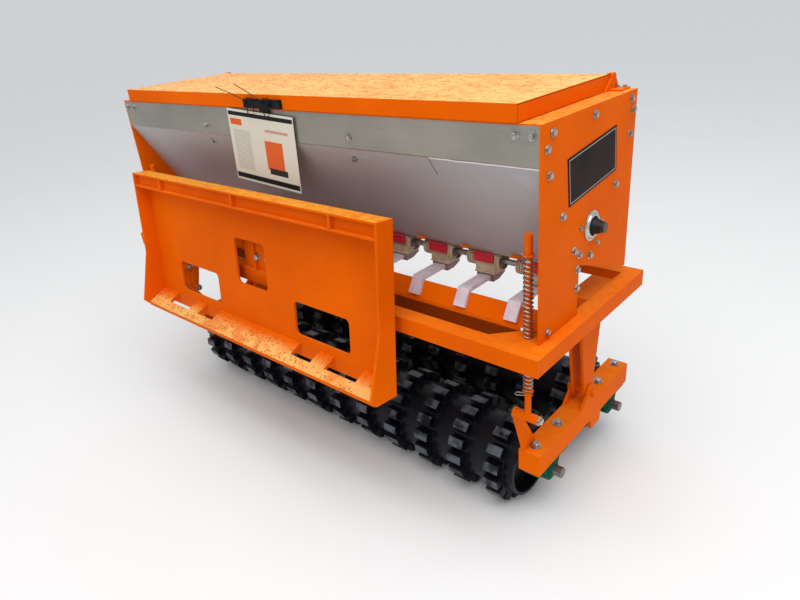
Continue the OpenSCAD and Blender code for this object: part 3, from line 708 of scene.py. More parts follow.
@dataclass(frozen=True)
class SpecCard(Finish):
    """A laminated white card: a dark head band, a pale block, plain grey bars and a plain orange box."""

    low: Point
    high: Point
    tilt: float = math.radians(-3.0)
    half_width: float = 0.145
    card: tuple[Colour, Colour] = ((0.66, 0.62, 0.52), (0.74, 0.71, 0.62))
    border: Colour = (0.66, 0.63, 0.58)
    row: Colour = (0.16, 0.15, 0.145)
    row_grain: float = 1150.0
    column: tuple[Pair, Pair] = ((-0.132, -0.052), (-0.070, 0.046))  # x and z of the block of rows
    marks: tuple[tuple[Pair, Pair, Colour], ...] = (  # x, z and tone of each plain mark
        ((-0.200, 0.200), (0.0868, 0.0985), (0.018, 0.018, 0.020)),
        ((-0.200, 0.200), (-0.0985, -0.0835), (0.018, 0.018, 0.020)),
        ((-0.139, -0.085), (0.060, 0.078), (0.72, 0.11, 0.02)),
        ((0.012, 0.090), (-0.055, 0.028), (0.70, 0.12, 0.03)),
        ((0.020, 0.100), (-0.068, -0.050), (0.03, 0.03, 0.03)),
        ((0.020, 0.120), (0.052, 0.060), (0.55, 0.30, 0.24)),
    )

    def paint(self, shader: Shader) -> None:
        """Builds the finish's nodes.

        Args:
            shader: The material under construction.
        """
        centre = [(a + b) / 2 for a, b in zip(self.low, self.high)]
        moved = shader.mapped(shift=(-centre[0], 0.0, -centre[2]))
        x, _, z = shader.split(shader.mapped(turn=(0.0, self.tilt, 0.0), vector=moved))
        base = shader.mix(shader.noise(20.0) * 0.3, *self.card)
        for across, up, tone in self.marks:
            base = shader.mix(x.between(*across) * z.between(*up), base, tone)
        rows = ((z * self.row_grain).sine() > 0.10) * x.between(*self.column[0]) * z.between(*self.column[1])
        base = shader.mix(rows * 0.5, base, self.row)
        border = x.size().step(self.half_width - 0.5 * MM, self.half_width + 0.5 * MM)
        shader.set(
            Base_Color=shader.mix(border, base, self.border),
            Roughness=0.30 + shader.noise(30.0) * 0.1,
            Normal=shader.relief(shader.noise(9.0), 2.0 * MM),
            IOR=1.12,
        )


@dataclass(frozen=True)
class Plaque(Finish):
    """A blank black sign with a thin pale line round it."""

    middle: Pair = (0.003, 0.973)
    half: Pair = (0.118, 0.054)
    tilt: float = math.radians(6.5)
    black: tuple[Colour, Colour] = ((0.011, 0.008, 0.008), (0.028, 0.013, 0.011))
    pale: Colour = (0.42, 0.38, 0.34)
    line: Pair = (-6.2 * MM, -4.2 * MM)  # the line's two edges, inward from the sign's edge

    def paint(self, shader: Shader) -> None:
        """Builds the finish's nodes.

        Args:
            shader: The material under construction.
        """
        _, y, z = shader.place()
        c, s = math.cos(self.tilt), math.sin(self.tilt)
        back, up = y - self.middle[0], z - self.middle[1]
        across = (back * c + up * s).size() - self.half[0]
        along = (up * c - back * s).size() - self.half[1]
        line = across.most(along).between(*self.line)
        streak = shader.noise(16.0, 4.0, 0.6)
        shader.set(
            Base_Color=shader.mix(line, shader.mix(streak.step(0.35, 0.7), *self.black), self.pale),
            Roughness=0.30 + streak * 0.2,
            IOR=1.12,
            Normal=shader.relief(line, 0.2 * MM, shader.soft_normal(0.5 * MM)),
        )


@dataclass(frozen=True)
class ShaftBearing(Finish):
    """A pressed bright flange that carries a black rubber boot, with painted shade in the groove round the boot."""

    axis: Pair
    boot_radius: float = 0.0212
    boot_x: float = 0.8425
    # Painted shade in the groove round the boot: its radius and its colour.
    groove_shade_radius: float = 0.0238
    steel: tuple[Colour, Colour] = ((0.34, 0.32, 0.29), (0.70, 0.70, 0.68))
    rubber: tuple[Colour, Colour] = ((0.004, 0.004, 0.004), (0.022, 0.016, 0.013))
    groove_shade: Colour = (0.03, 0.028, 0.026)

    def paint(self, shader: Shader) -> None:
        """Builds the finish's nodes.

        Args:
            shader: The material under construction.
        """
        reach = shader.reach(self.axis)
        boot = (reach < self.boot_radius**2) * (shader.place()[0].size() > self.boot_x)
        cloud = shader.noise(60.0, 4.0)
        # Painted shade in the groove round the boot.
        groove_shade = (reach < self.groove_shade_radius**2) * (1.0 - boot)
        steel = shader.mix(groove_shade * 0.9, shader.mix(cloud, *self.steel), self.groove_shade)
        shader.set(
            Base_Color=shader.mix(boot, steel, shader.mix(cloud.step(0.4, 0.6), *self.rubber)),
            Metallic=(1.0 - boot) * 0.9,
            Roughness=0.20 + cloud * 0.12 + boot * 0.12,
            IOR=1.3,
            Normal=shader.relief(cloud, 0.3 * MM, shader.soft_normal(0.8 * MM)),
        )


@dataclass(frozen=True)
class FeedShaft(Finish):
    """A bright shaft that carries ribbed feed wheels of pale plastic."""

    shaft_radius: float = 0.0095
    steel: tuple[Colour, Colour] = ((0.34, 0.33, 0.32), (0.62, 0.60, 0.58))
    plastic: tuple[Colour, Colour] = ((0.52, 0.41, 0.27), (0.74, 0.62, 0.44))

    def paint(self, shader: Shader) -> None:
        """Builds the finish's nodes.

        Args:
            shader: The material under construction.
        """
        wheel = shader.reach(METER_AXIS) > self.shaft_radius**2
        cloud = shader.noise(50.0, 4.0, 0.6)
        plastic = shader.mix(cloud.step(0.3, 0.7), *self.plastic)
        shader.set(
            Base_Color=shader.mix(wheel, shader.mix(cloud, *self.steel), plastic),
            Metallic=(1.0 - wheel) * 0.9,
            Roughness=0.28 + cloud * 0.1 + wheel * 0.16,
            Normal=shader.relief(cloud, 0.2 * MM, shader.soft_normal(0.8 * MM)),
        )


@dataclass(frozen=True)
class StudioFloor(Finish):
    """A plain pale floor with a very faint grain."""

    tone: Colour = (0.80, 0.80, 0.79)

    def paint(self, shader: Shader) -> None:
        """Builds the finish's nodes.

        Args:
            shader: The material under construction.
        """
        darker = tuple(c * 0.97 for c in self.tone)
        base = shader.mix(shader.noise(3.0, 4.0), darker, self.tone)
        shader.set(Base_Color=base, Roughness=0.9, Specular_IOR_Level=0.1)


# Rain settings paint the sky's reflection on upward faces, beads paint the shade of water drops, and hollow and lip
# paint shadows.
ORANGE = OrangePaint("orange paint", Slot.ORANGE, painted_sheen=(0.92, 0.40, 0.04), rain=0.2)
ORANGE_LID = OrangePaint("rained orange paint", Slot.ORANGE, rain=1.0, fold=(LID_FRONT, LID_TOP))
ORANGE_RIM = OrangePaint(
    "wet rim paint", Slot.ORANGE, painted_sheen=(0.92, 0.44, 0.08), rain=0.6, grain=80.0,
    beads=0.8, bead_grain=90.0, lip=0.787,
)
ORANGE_LIP = OrangePaint("wet lip paint", Slot.ORANGE, painted_sheen=(0.82, 0.50, 0.06), rain=0.6, beads=0.35)
ORANGE_BOARD = OrangePaint("board paint", Slot.ORANGE, rain=0.16, hollow=0.612)
ORANGE_SHELF = OrangePaint(
    "wet shelf paint", Slot.ORANGE, rain=1.0, grain=26.0, beads=0.85, bead_grain=96.0, lead=(-0.346, -0.392)
)
DROP = OrangePaint("rain drops", Slot.ORANGE, lit=(0.90, 0.24, 0.05), deep=(0.70, 0.13, 0.02), grime=0.0)
# Its paler edges are wear with a painted highlight.
GREEN = OrangePaint(
    "green iron", Slot.GREEN, lit=(0.012, 0.115, 0.060), deep=(0.006, 0.060, 0.032),
    rubbed_and_highlit=(0.05, 0.22, 0.14), grime=0.3,
)
BARE_SHEET = HopperSheet("bare stainless sheet", Slot.STAINLESS)
FILM_SHEET = HopperSheet("stainless sheet with film", Slot.STAINLESS, film_edge=1.0175)
ZINC = PlatedSteel("bright plated steel", Slot.BRIGHT)
SHAFT = PlatedSteel("dull shaft steel", Slot.BRIGHT, (0.16, 0.14, 0.12), (0.06, 0.05, 0.045), 0.34)
COIL = PlatedSteel("plated spring wire", Slot.SPRING, (0.55, 0.52, 0.48), (0.32, 0.27, 0.23), 0.28)
BLACK = MouldedPlastic(
    "black plastic", Slot.BLACK_PLASTIC, (0.010, 0.011, 0.014), (0.004, 0.004, 0.006), 0.26, ior=1.2
)
BEIGE = MouldedPlastic("beige plastic", Slot.BEIGE, (0.60, 0.49, 0.33), (0.42, 0.33, 0.21), 0.42)
HOUSING = replace(BEIGE, name="meter plastic", hollow_shade_radius=0.0236)
RED = MouldedPlastic("red plastic", Slot.RED, (0.60, 0.026, 0.048), (0.44, 0.014, 0.028), 0.3)
SMOKED = MouldedPlastic("smoked plastic", Slot.SMOKED, (0.26, 0.075, 0.070), (0.15, 0.040, 0.040), 0.16, 0.80)
CLEAR = MouldedPlastic("clear tube plastic", Slot.CLEAR, (0.84, 0.73, 0.79), (0.70, 0.59, 0.65), 0.18, 0.84)


# Meshes


def add_object(name: str, data: bpy.types.ID) -> bpy.types.Object:
    """Puts a new object in the scene.

    Args:
        name: Its name.
        data: Its mesh, camera or light.

    Returns:
        The object.
    """
    made = bpy.data.objects.new(name, data)
    bpy.context.scene.collection.objects.link(made)
    return made


def shade(mesh: bmesh.types.BMesh, smooth: float, data: bpy.types.Mesh) -> None:
    """Shades a mesh smooth up to an angle, and stores it.

    Args:
        mesh: The mesh, which is freed.
        smooth: The angle in degrees.
        data: Where it is stored.
    """
    for face in mesh.faces:
        face.smooth = True
    for edge in mesh.edges:
        edge.smooth = edge.calc_face_angle(0.0) < math.radians(smooth)
    mesh.to_mesh(data)
    mesh.free()


def settle(piece: bpy.types.Object, body: Body) -> None:
    """Lets a piece ride on its body and reports it.

    Args:
        piece: The piece.
        body: The body that it rides on.
    """
    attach(piece, body.value)
    LOG.info("%s rides on %s, %d faces", piece.name, body.value, len(piece.data.polygons))


def dress(finish: Finish, *nodes: str) -> None:
    """Gives CAD nodes a finish.

    Args:
        finish: The finish.
        nodes: The nodes' names.
    """
    for name in nodes:
        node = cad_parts[name]
        node.data.materials.clear()
        node.data.materials.append(finish.material())
        LOG.info("%s has %s", name, finish.name)


class Form:
    """Gathers closed forms of one finish into one mesh, in metres, in the frame's own place."""

    def __init__(self, finish: Finish) -> None:
        """Starts with nothing in the finish."""
        self.finish = finish
        self.mesh = bmesh.new()

    def loft(self, rings: Sequence[Sequence[Vector]], closed: bool = False) -> None:
        """Joins rings of equal length into a skin.

        Args:
            rings: The rings of points, in order.
            closed: True where the last ring joins the first, and False where both ends are capped.
        """
        made = [[self.mesh.verts.new(p) for p in ring] for ring in rings]
        count = len(made[0])
        for first, second in list(zip(made, made[1:])) + ([(made[-1], made[0])] if closed else []):
            for i in range(count):
                j = (i + 1) % count
                self.mesh.faces.new((first[i], first[j], second[j], second[i]))
        if not closed:
            self.mesh.faces.new(list(reversed(made[0])))
            self.mesh.faces.new(made[-1])

    def box(self, low: Point, high: Point) -> None:
        """Adds the box between its lowest and its highest corner."""
        corners = ((low[0], low[1]), (high[0], low[1]), (high[0], high[1]), (low[0], high[1]))
        self.loft([[Vector((x, y, z)) for x, y in corners] for z in (low[2], high[2])])

    def prism(self, outline: Sequence[Pair], low: float, high: float) -> None:
        """Adds a prism along x.

        Args:
            outline: The y and z of its outline's points, in order.
            low: The x where it starts.
            high: The x where it ends.
        """
        self.loft([[Vector((x, y, z)) for y, z in outline] for x in (low, high)])

    def lathe(self, profile: Sequence[Pair], base: Vector, along: Vector, steps: int) -> None:
        """Turns a profile about an axis.

        Args:
            profile: Radius and height of each ring, none of them on the axis.
            base: The point where the height is 0.
            along: The axis.
            steps: The number of sides.
        """
        turn = along.to_track_quat("Z", "Y").to_matrix()
        angles = [math.tau * k / steps for k in range(steps)]
        self.loft(
            [
                [base + turn @ Vector((radius * math.cos(a), radius * math.sin(a), height)) for a in angles]
                for radius, height in profile
            ]
        )

    def tube(self, path: Sequence[Vector], radius: float, steps: int = 8, closed: bool = False) -> None:
        """Sweeps a round section along a path.

        Args:
            path: The path's points.
            radius: The section's radius.
            steps: The number of its sides.
            closed: True where the path ends where it starts.
        """
        last = len(path) - 1
        angles = [math.tau * k / steps for k in range(steps)]
        rings = []
        side: Optional[Vector] = None
        for i, point in enumerate(path):
            before = path[i - 1] if (i or closed) else point
            after = path[(i + 1) % len(path)] if (i < last or closed) else point
            along = (after - before).normalized()
            if side is None:
                side = along.orthogonal().normalized()
            side = (side - along * side.dot(along)).normalized()
            other = along.cross(side)
            rings.append([point + (side * math.cos(a) + other * math.sin(a)) * radius for a in angles])
        self.loft(rings, closed)

    def piece(self, name: str, body: Body, soften: float = 0.0, smooth: float = 40.0) -> bpy.types.Object:
        """Turns the gathered forms into a finished piece.

        Args:
            name: The piece's name.
            body: The body that it rides on.
            soften: The width of its edges' rounding, in metres.
            smooth: The angle in degrees up to which an edge is shaded smooth.

        Returns:
            The piece.
        """
        bmesh.ops.recalc_face_normals(self.mesh, faces=self.mesh.faces[:])
        data = bpy.data.meshes.new(name)
        shade(self.mesh, smooth, data)
        data.materials.append(self.finish.material())
        made = add_object(name, data)
        if soften > 0.0:
            bevel = made.modifiers.new("soft edges", "BEVEL")
            bevel.width = soften
            bevel.segments = 2
            bevel.limit_method = "ANGLE"
            bevel.angle_limit = math.radians(35.0)
            bevel.harden_normals = True
        settle(made, body)
        return made


# Geometry Nodes


class Recipe(Tree):
    """A Geometry Nodes tree with named inputs for its sizes and its finish."""

    def __init__(self, name: str, inputs: dict[str, float]) -> None:
        """Starts the tree.

        Args:
            name: The tree's name.
            inputs: Each size's value, by name. A whole number makes an input of whole numbers.
        """
        super().__init__(bpy.data.node_groups.new(name, "GeometryNodeTree"))
        self.values = inputs
        self.identifiers: dict[str, str] = {}
        face = self.tree.interface
        face.new_socket("Geometry", in_out="INPUT", socket_type="NodeSocketGeometry")
        face.new_socket("Geometry", in_out="OUTPUT", socket_type="NodeSocketGeometry")
        for key, value in inputs.items():
            kind = "NodeSocketInt" if isinstance(value, int) else "NodeSocketFloat"
            made = face.new_socket(key, in_out="INPUT", socket_type=kind)
            made.default_value = value
            self.identifiers[key] = made.identifier
        made = face.new_socket("Finish", in_out="INPUT", socket_type="NodeSocketMaterial")
        self.identifiers["Finish"] = made.identifier
        self.input = self.node("NodeGroupInput").outputs

    def scatter(self, sockets: Sockets) -> None:
        """Ends the tree in Instance on Points, Realize Instances and Set Material.

        Args:
            sockets: The points, the instance and, where they differ, its turn and scale.
        """
        placed = self.node("GeometryNodeInstanceOnPoints", None, sockets)
        real = self.node("GeometryNodeRealizeInstances", None, {0: placed})
        finished = self.node("GeometryNodeSetMaterial", None, {0: real, "Material": self.input["Finish"]})
        self.node("NodeGroupOutput", None, {0: finished})

    def points(self) -> bpy.types.Node:
        """Returns a node that makes the carrying mesh's corners points."""
        return self.node("GeometryNodeMeshToPoints", None, {0: self.input["Geometry"]})

    def bake(self, name: str, data: bpy.types.Mesh, values: dict[str, object], smooth: float) -> bpy.types.Object:
        """Runs the tree on a mesh and keeps the result as a plain mesh.

        Args:
            name: The new object's name.
            data: The mesh that the tree starts from.
            values: The finish and the sizes that differ from the tree's own.
            smooth: The angle in degrees up to which an edge is shaded smooth.

        Returns:
            The object, which rides on nothing yet.
        """
        carrier = add_object(name + "_carrier", data)
        modifier = carrier.modifiers.new("recipe", "NODES")
        modifier.node_group = self.tree
        for key, value in {**self.values, **values}.items():
            modifier[self.identifiers[key]] = value
        bpy.context.view_layer.update()
        result = bpy.data.meshes.new_from_object(carrier.evaluated_get(bpy.context.evaluated_depsgraph_get()))
        result.name = name
        carrier.modifiers.remove(modifier)
        bpy.data.objects.remove(carrier)
        mesh = bmesh.new()
        mesh.from_mesh(result)
        shade(mesh, smooth, result)
        return add_object(name, result)


def aimed_points(points: Sequence[Point], aims: Sequence[Point]) -> bpy.types.Mesh:
    """Returns a mesh of points only, each with its direction in the attribute that the bolts read.

    Args:
        points: The points.
        aims: The direction at each point.

    Returns:
        The mesh.
    """
    data = bpy.data.meshes.new("points")
    data.from_pydata([tuple(p) for p in points], [], [])
    attribute = data.attributes.new("aim", "FLOAT_VECTOR", "POINT")
    attribute.data.foreach_set("vector", [c for aim in aims for c in aim])
    return data


def bolt_recipe() -> Recipe:
    """Builds the tree that sets a washer and a chamfered hexagon head on each point.

    Returns:
        The tree.
    """
    sizes = {"Head": 8.5 * MM, "Height": 6.0 * MM, "Washer": 11.5 * MM, "Washer thickness": 1.8 * MM}
    recipe = Recipe("bolts", sizes)
    head, height, washer, thick = (recipe.input[key] for key in sizes)

    def scaled(size: bpy.types.NodeSocket, factor: float, rest: object = 0.0) -> bpy.types.Node:
        """Returns a node that scales a size and adds the rest."""
        return recipe.node("ShaderNodeMath", {"operation": "MULTIPLY_ADD"}, {0: size, 1: factor, 2: rest})

    def lifted(kind: str, sockets: Sockets, level: bpy.types.Node) -> bpy.types.Node:
        """Returns a node that lifts a primitive along the bolt.

        Args:
            kind: The primitive's type.
            sockets: The primitive's sockets.
            level: The height of its middle.

        Returns:
            The lifting node.
        """
        part = recipe.node(kind, None, sockets)
        offset = recipe.node("ShaderNodeCombineXYZ", None, {"Z": level})
        return recipe.node("GeometryNodeTransform", None, {"Geometry": part, "Translation": offset})

    disc = {"Vertices": 24, "Radius": washer, "Depth": thick}
    block = {"Vertices": 6, "Radius": head, "Depth": height}
    crown = {
        "Vertices": 18,
        "Radius Top": scaled(head, 0.66),
        "Radius Bottom": scaled(head, 0.86),
        "Depth": scaled(height, 0.16),
    }
    parts = [
        lifted("GeometryNodeMeshCylinder", disc, scaled(thick, 0.5)),
        lifted("GeometryNodeMeshCylinder", block, scaled(height, 0.5, thick)),
        lifted("GeometryNodeMeshCone", crown, scaled(height, 1.0, thick)),
    ]
    whole = recipe.node("GeometryNodeJoinGeometry", None, {0: parts})
    aim = recipe.node("GeometryNodeInputNamedAttribute", {"data_type": "FLOAT_VECTOR"}, {"Name": "aim"})
    turn = recipe.node("FunctionNodeAlignRotationToVector", {"axis": "Z"}, {"Vector": aim})
    recipe.scatter({"Points": recipe.points(), "Instance": whole, "Rotation": turn})
    return recipe


def coil_recipe() -> Recipe:
    """Builds the tree that winds a round-wire coil up from each point.

    Returns:
        The tree.
    """
    sizes = {"Turns": 8.0, "Radius": 10.5 * MM, "Length": 0.2, "Wire": 2.5 * MM}
    recipe = Recipe("coils", sizes)
    turns, radius, length, thickness = (recipe.input[key] for key in sizes)
    bend = {"Resolution": 22, "Rotations": turns, "Start Radius": radius, "End Radius": radius, "Height": length}
    spiral = recipe.node("GeometryNodeCurveSpiral", None, bend)
    section = recipe.node("GeometryNodeCurvePrimitiveCircle", None, {"Resolution": 8, "Radius": thickness})
    swept = {"Curve": spiral, "Profile Curve": section, "Fill Caps": True}
    wire = recipe.node("GeometryNodeCurveToMesh", None, swept)
    recipe.scatter({"Points": recipe.points(), "Instance": wire})
    return recipe


def drop_recipe() -> Recipe:
    """Builds the tree that scatters flattened drops of water over a face.

    Returns:
        The tree.
    """
    sizes = {"Density": 900.0, "Smallest": 0.6, "Largest": 1.6, "Radius": 3.0 * MM, "Seed": 7}
    recipe = Recipe("drops", sizes)
    density, smallest, largest, radius, seed = (recipe.input[key] for key in sizes)
    spread = recipe.node(
        "GeometryNodeDistributePointsOnFaces",
        {"distribute_method": "RANDOM"},
        {"Mesh": recipe.input["Geometry"], "Density": density, "Seed": seed},
    ).outputs
    bead_shade = recipe.node("GeometryNodeMeshUVSphere", None, {"Segments": 8, "Rings": 5, "Radius": radius})
    flat = recipe.node("GeometryNodeTransform", None, {"Geometry": bead_shade, "Scale": (1.0, 1.0, 0.3)})
    scale = recipe.node("FunctionNodeRandomValue", {"data_type": "FLOAT"}, {2: smallest, 3: largest, "Seed": seed})
    spots, turns = spread["Points"], spread["Rotation"]
    recipe.scatter({"Points": spots, "Instance": flat, "Rotation": turns, "Scale": scale.outputs[1]})
    return recipe


# Sub-assemblies


@dataclass
class Fasteners:
    """Every set of bolts that shows, each on the face that carries it."""

    recipe: Recipe = field(default_factory=bolt_recipe)
    height: float = 0.72  # of the head's radius
    thickness: float = 0.2  # of the head's radius
    count: int = 0

    def set_on(
        self, name: str, points: Sequence[Point], aims: Union[Point, list[Point]], head: float, washer: float
    ) -> None:
        """Sets one group of bolts on the machine.

        Args:
            name: The piece's name.
            points: The points on the carrying faces, in metres.
            aims: The direction in which all the bolts stand, or a list with each one's.
            head: The head's radius in millimetres.
            washer: The washer's radius in millimetres.
        """
        values = {
            "Head": head * MM,
            "Height": head * self.height * MM,
            "Washer": washer * MM,
            "Washer thickness": head * self.thickness * MM,
            "Finish": ZINC.material(),
        }
        each = aims if isinstance(aims, list) else [aims] * len(points)
        settle(self.recipe.bake(name, aimed_points(points, each), values, 25.0), Body.MACHINE)
        self.count += len(points)


@dataclass
class Assembly:
    """A sub-assembly, which dresses its CAD nodes, makes its new pieces and sets its bolts."""

    bolts: Fasteners

    def dress(self) -> None:
        """Gives the sub-assembly's nodes their finishes."""
        raise NotImplementedError

    def make(self) -> None:
        """Makes the sub-assembly's new pieces, where it has any."""

    def fasten(self) -> None:
        """Sets the sub-assembly's bolts, where it has any."""

    def build(self) -> None:
        """Builds the sub-assembly and reports it."""
        self.dress()
        self.make()
        self.fasten()
        LOG.info("%s is built, with %d bolts set so far", type(self).__name__, self.bolts.count)


@dataclass
class Hopper(Assembly):
    """The hopper with its end plates, sheets, labels, bearings and their bolts."""

    side: float = 0.840
    plate_bolts: tuple[Pair, ...] = (
        (0.000, 1.084), (-0.186, 1.082), (-0.207, 1.053), (-0.197, 0.998), (0.194, 1.087), (0.207, 1.059),
        (0.194, 1.004), (0.130, 0.896), (-0.136, 0.893), (-0.077, 0.793), (-0.050, 0.775), (0.006, 0.754),
        (-0.057, 0.739), (-0.057, 0.692), (-0.192, 0.633),
    )
    bearing_bolts: tuple[Pair, ...] = ((-0.048, 0.839), (0.058, 0.825), (0.074, 0.794), (0.045, 0.774))
    band_front: float = -0.228
    band_bolts: tuple[Pair, ...] = (
        (0.779, 1.082), (0.817, 1.082), (-0.821, 1.086), (-0.776, 1.086), (-0.335, 1.047), (0.301, 1.046),
    )
    slope: Point = (0.0, -0.862, -0.507)  # the sloped sheet's outward direction
    slope_bolts: tuple[Point, ...] = ((-0.3395, -0.2130, 0.994), (0.296, -0.2101, 0.989))
    bearing: tuple[Pair, ...] = (  # radius and height of the flange and its boot, in millimetres
        (12.0, 0.0), (36.5, 0.0), (36.5, 3.0), (32.0, 3.6), (30.5, 7.0), (28.5, 8.8), (24.5, 8.8), (22.8, 7.0),
        (22.0, 4.0), (20.0, 4.0), (20.0, 10.0), (18.6, 14.0), (15.4, 24.0), (14.4, 28.0), (11.5, 28.0),
        (11.0, 25.0),
    )
    tab_shift: float = -0.050  # from the middle of each meter
    tab_half: float = 14.0 * MM
    tab_y: Pair = (-0.082, -0.062)
    tab_z: Pair = (0.7445, 0.7480)

    def dress(self) -> None:
        """Gives the hopper's nodes their finishes."""
        dress(ORANGE_RIM, "end_plate_left", "end_plate_right", "hopper_rim")
        dress(ORANGE_BOARD, "seed_deflector")
        dress(FILM_SHEET, "hopper_front_sheet")
        dress(BARE_SHEET, "hopper_back_sheet", "hopper_floor")
        low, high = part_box("spec_card")
        dress(SpecCard("laminated card", Slot.CARD, tuple(low), tuple(high)), "spec_card")
        dress(Plaque("blank plaque", Slot.PLAQUE), "name_plaque")
        dress(SHAFT, "agitator")

    def make(self) -> None:
        """Turns the pressed flanges with their boots, which stand for the CAD's larger ones."""
        form = Form(ShaftBearing("shaft bearing", Slot.PRESSED, AGITATOR_AXIS))
        profile = [(radius * MM, height * MM) for radius, height in self.bearing]
        for sign in SIDES:
            form.lathe(profile, Vector((sign * self.side, *AGITATOR_AXIS)), Vector((sign, 0.0, 0.0)), 48)
        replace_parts(form.piece("shaft_flanges", Body.MACHINE), "shaft_bearings")

    def fasten(self) -> None:
        """Sets the bolts of the end plates, the bearings, the band and the slope, and the sheet's tabs."""
        for sign, side in zip(SIDES, ("right", "left")):
            for name, spots, head, washer in (
                ("end_plate_bolts", self.plate_bolts, 7.5, 10.0),
                ("bearing_bolts", self.bearing_bolts, 5.6, 6.6),
            ):
                points = [(sign * self.side, y, z) for y, z in spots]
                self.bolts.set_on(f"{name}_{side}", points, (sign, 0.0, 0.0), head, washer)
        points = [(x, self.band_front, z) for x, z in self.band_bolts]
        self.bolts.set_on("band_bolts", points, TO_FRONT, 7.5, 10.5)
        self.bolts.set_on("slope_bolts", self.slope_bolts, self.slope, 7.0, 8.5)
        self.tabs()

    def tabs(self) -> None:
        """Makes the small orange tabs that hold the sheet's lower edge beside each meter."""
        form = Form(ORANGE)
        for meter in METERS_X:
            x = meter + self.tab_shift
            low = (x - self.tab_half, self.tab_y[0], self.tab_z[0])
            form.box(low, (x + self.tab_half, self.tab_y[1], self.tab_z[1]))
        form.piece("sheet_tabs", Body.MACHINE, 0.8 * MM)


@dataclass
class Lid(Assembly):
    """The pan lid with its hinges, its latch and the rain on it."""

    half_x: float = 0.780
    back: float = 0.180
    tie_x: Pair = (-0.066, 0.006)
    tie_tails: tuple[Point, Point] = ((-0.212, -0.246, 1.162), (-0.120, -0.246, 1.172))
    tie_y: Pair = (-0.2535, -0.2335)
    tie_z: Pair = (1.086, 1.136)
    ear_bolts: tuple[Pair, ...] = ((0.797, 0.2085), (0.812, 0.2165))
    ear_top: float = 1.109

    def dress(self) -> None:
        """Gives the lid's nodes their finishes."""
        dress(ORANGE_LID, "lid")
        dress(ORANGE, "lid_hinges")
        dress(BLACK, "latch")

    def make(self) -> None:
        """Makes the latch's ties and the rain."""
        self.ties()
        self.rain()

    def ties(self) -> None:
        """Loops two cable ties round the latch, with their heads and loose tails."""
        form = Form(BLACK)
        (front, back), (low, high) = self.tie_y, self.tie_z
        loop = (
            (front, low + 10.0 * MM), (front, high - 8.0 * MM), (front + 6.0 * MM, high),
            (back, high - 2.0 * MM), (back, low + 4.0 * MM), (front + 6.0 * MM, low),
        )
        for x, tail in zip(self.tie_x, self.tie_tails):
            form.tube([Vector((x, y, z)) for y, z in loop], 1.5 * MM, 8, True)
            form.box(
                (x - 3.5 * MM, front - 4.5 * MM, high - 12.0 * MM), (x + 3.5 * MM, front + 1.5 * MM, high - 4.0 * MM)
            )
            start, end = Vector((x, front - 2.0 * MM, high - 6.0 * MM)), Vector(tail)
            form.tube([start, start.lerp(end, 0.5) + Vector((0.0, 0.0, 1.5 * MM)), end], 1.25 * MM, 6)
        form.piece("latch_ties", Body.LID, 0.3 * MM)

    def rain(self) -> None:
        """Scatters drops over the lid's top, just inside its edges."""
        x, front, back = self.half_x - 6.0 * MM, LID_FRONT + 6.0 * MM, self.back - 4.0 * MM
        corners = [(-x, front, LID_TOP), (x, front, LID_TOP), (x, back, LID_TOP), (-x, back, LID_TOP)]
        data = bpy.data.meshes.new("lid_face")
        data.from_pydata(corners, [], [SQUARE])
        values = {"Density": 1100.0, "Radius": 2.2 * MM, "Seed": 11, "Finish": DROP.material()}
        settle(drop_recipe().bake("lid_drops", data, values, 80.0), Body.LID)

    def fasten(self) -> None:
        """Sets the bolts on the feet of the hinges' ears."""
        points = [(sign * x, y, self.ear_top) for sign in SIDES for x, y in self.ear_bolts]
        self.bolts.set_on("ear_bolts", points, UP, 5.0, 6.2)


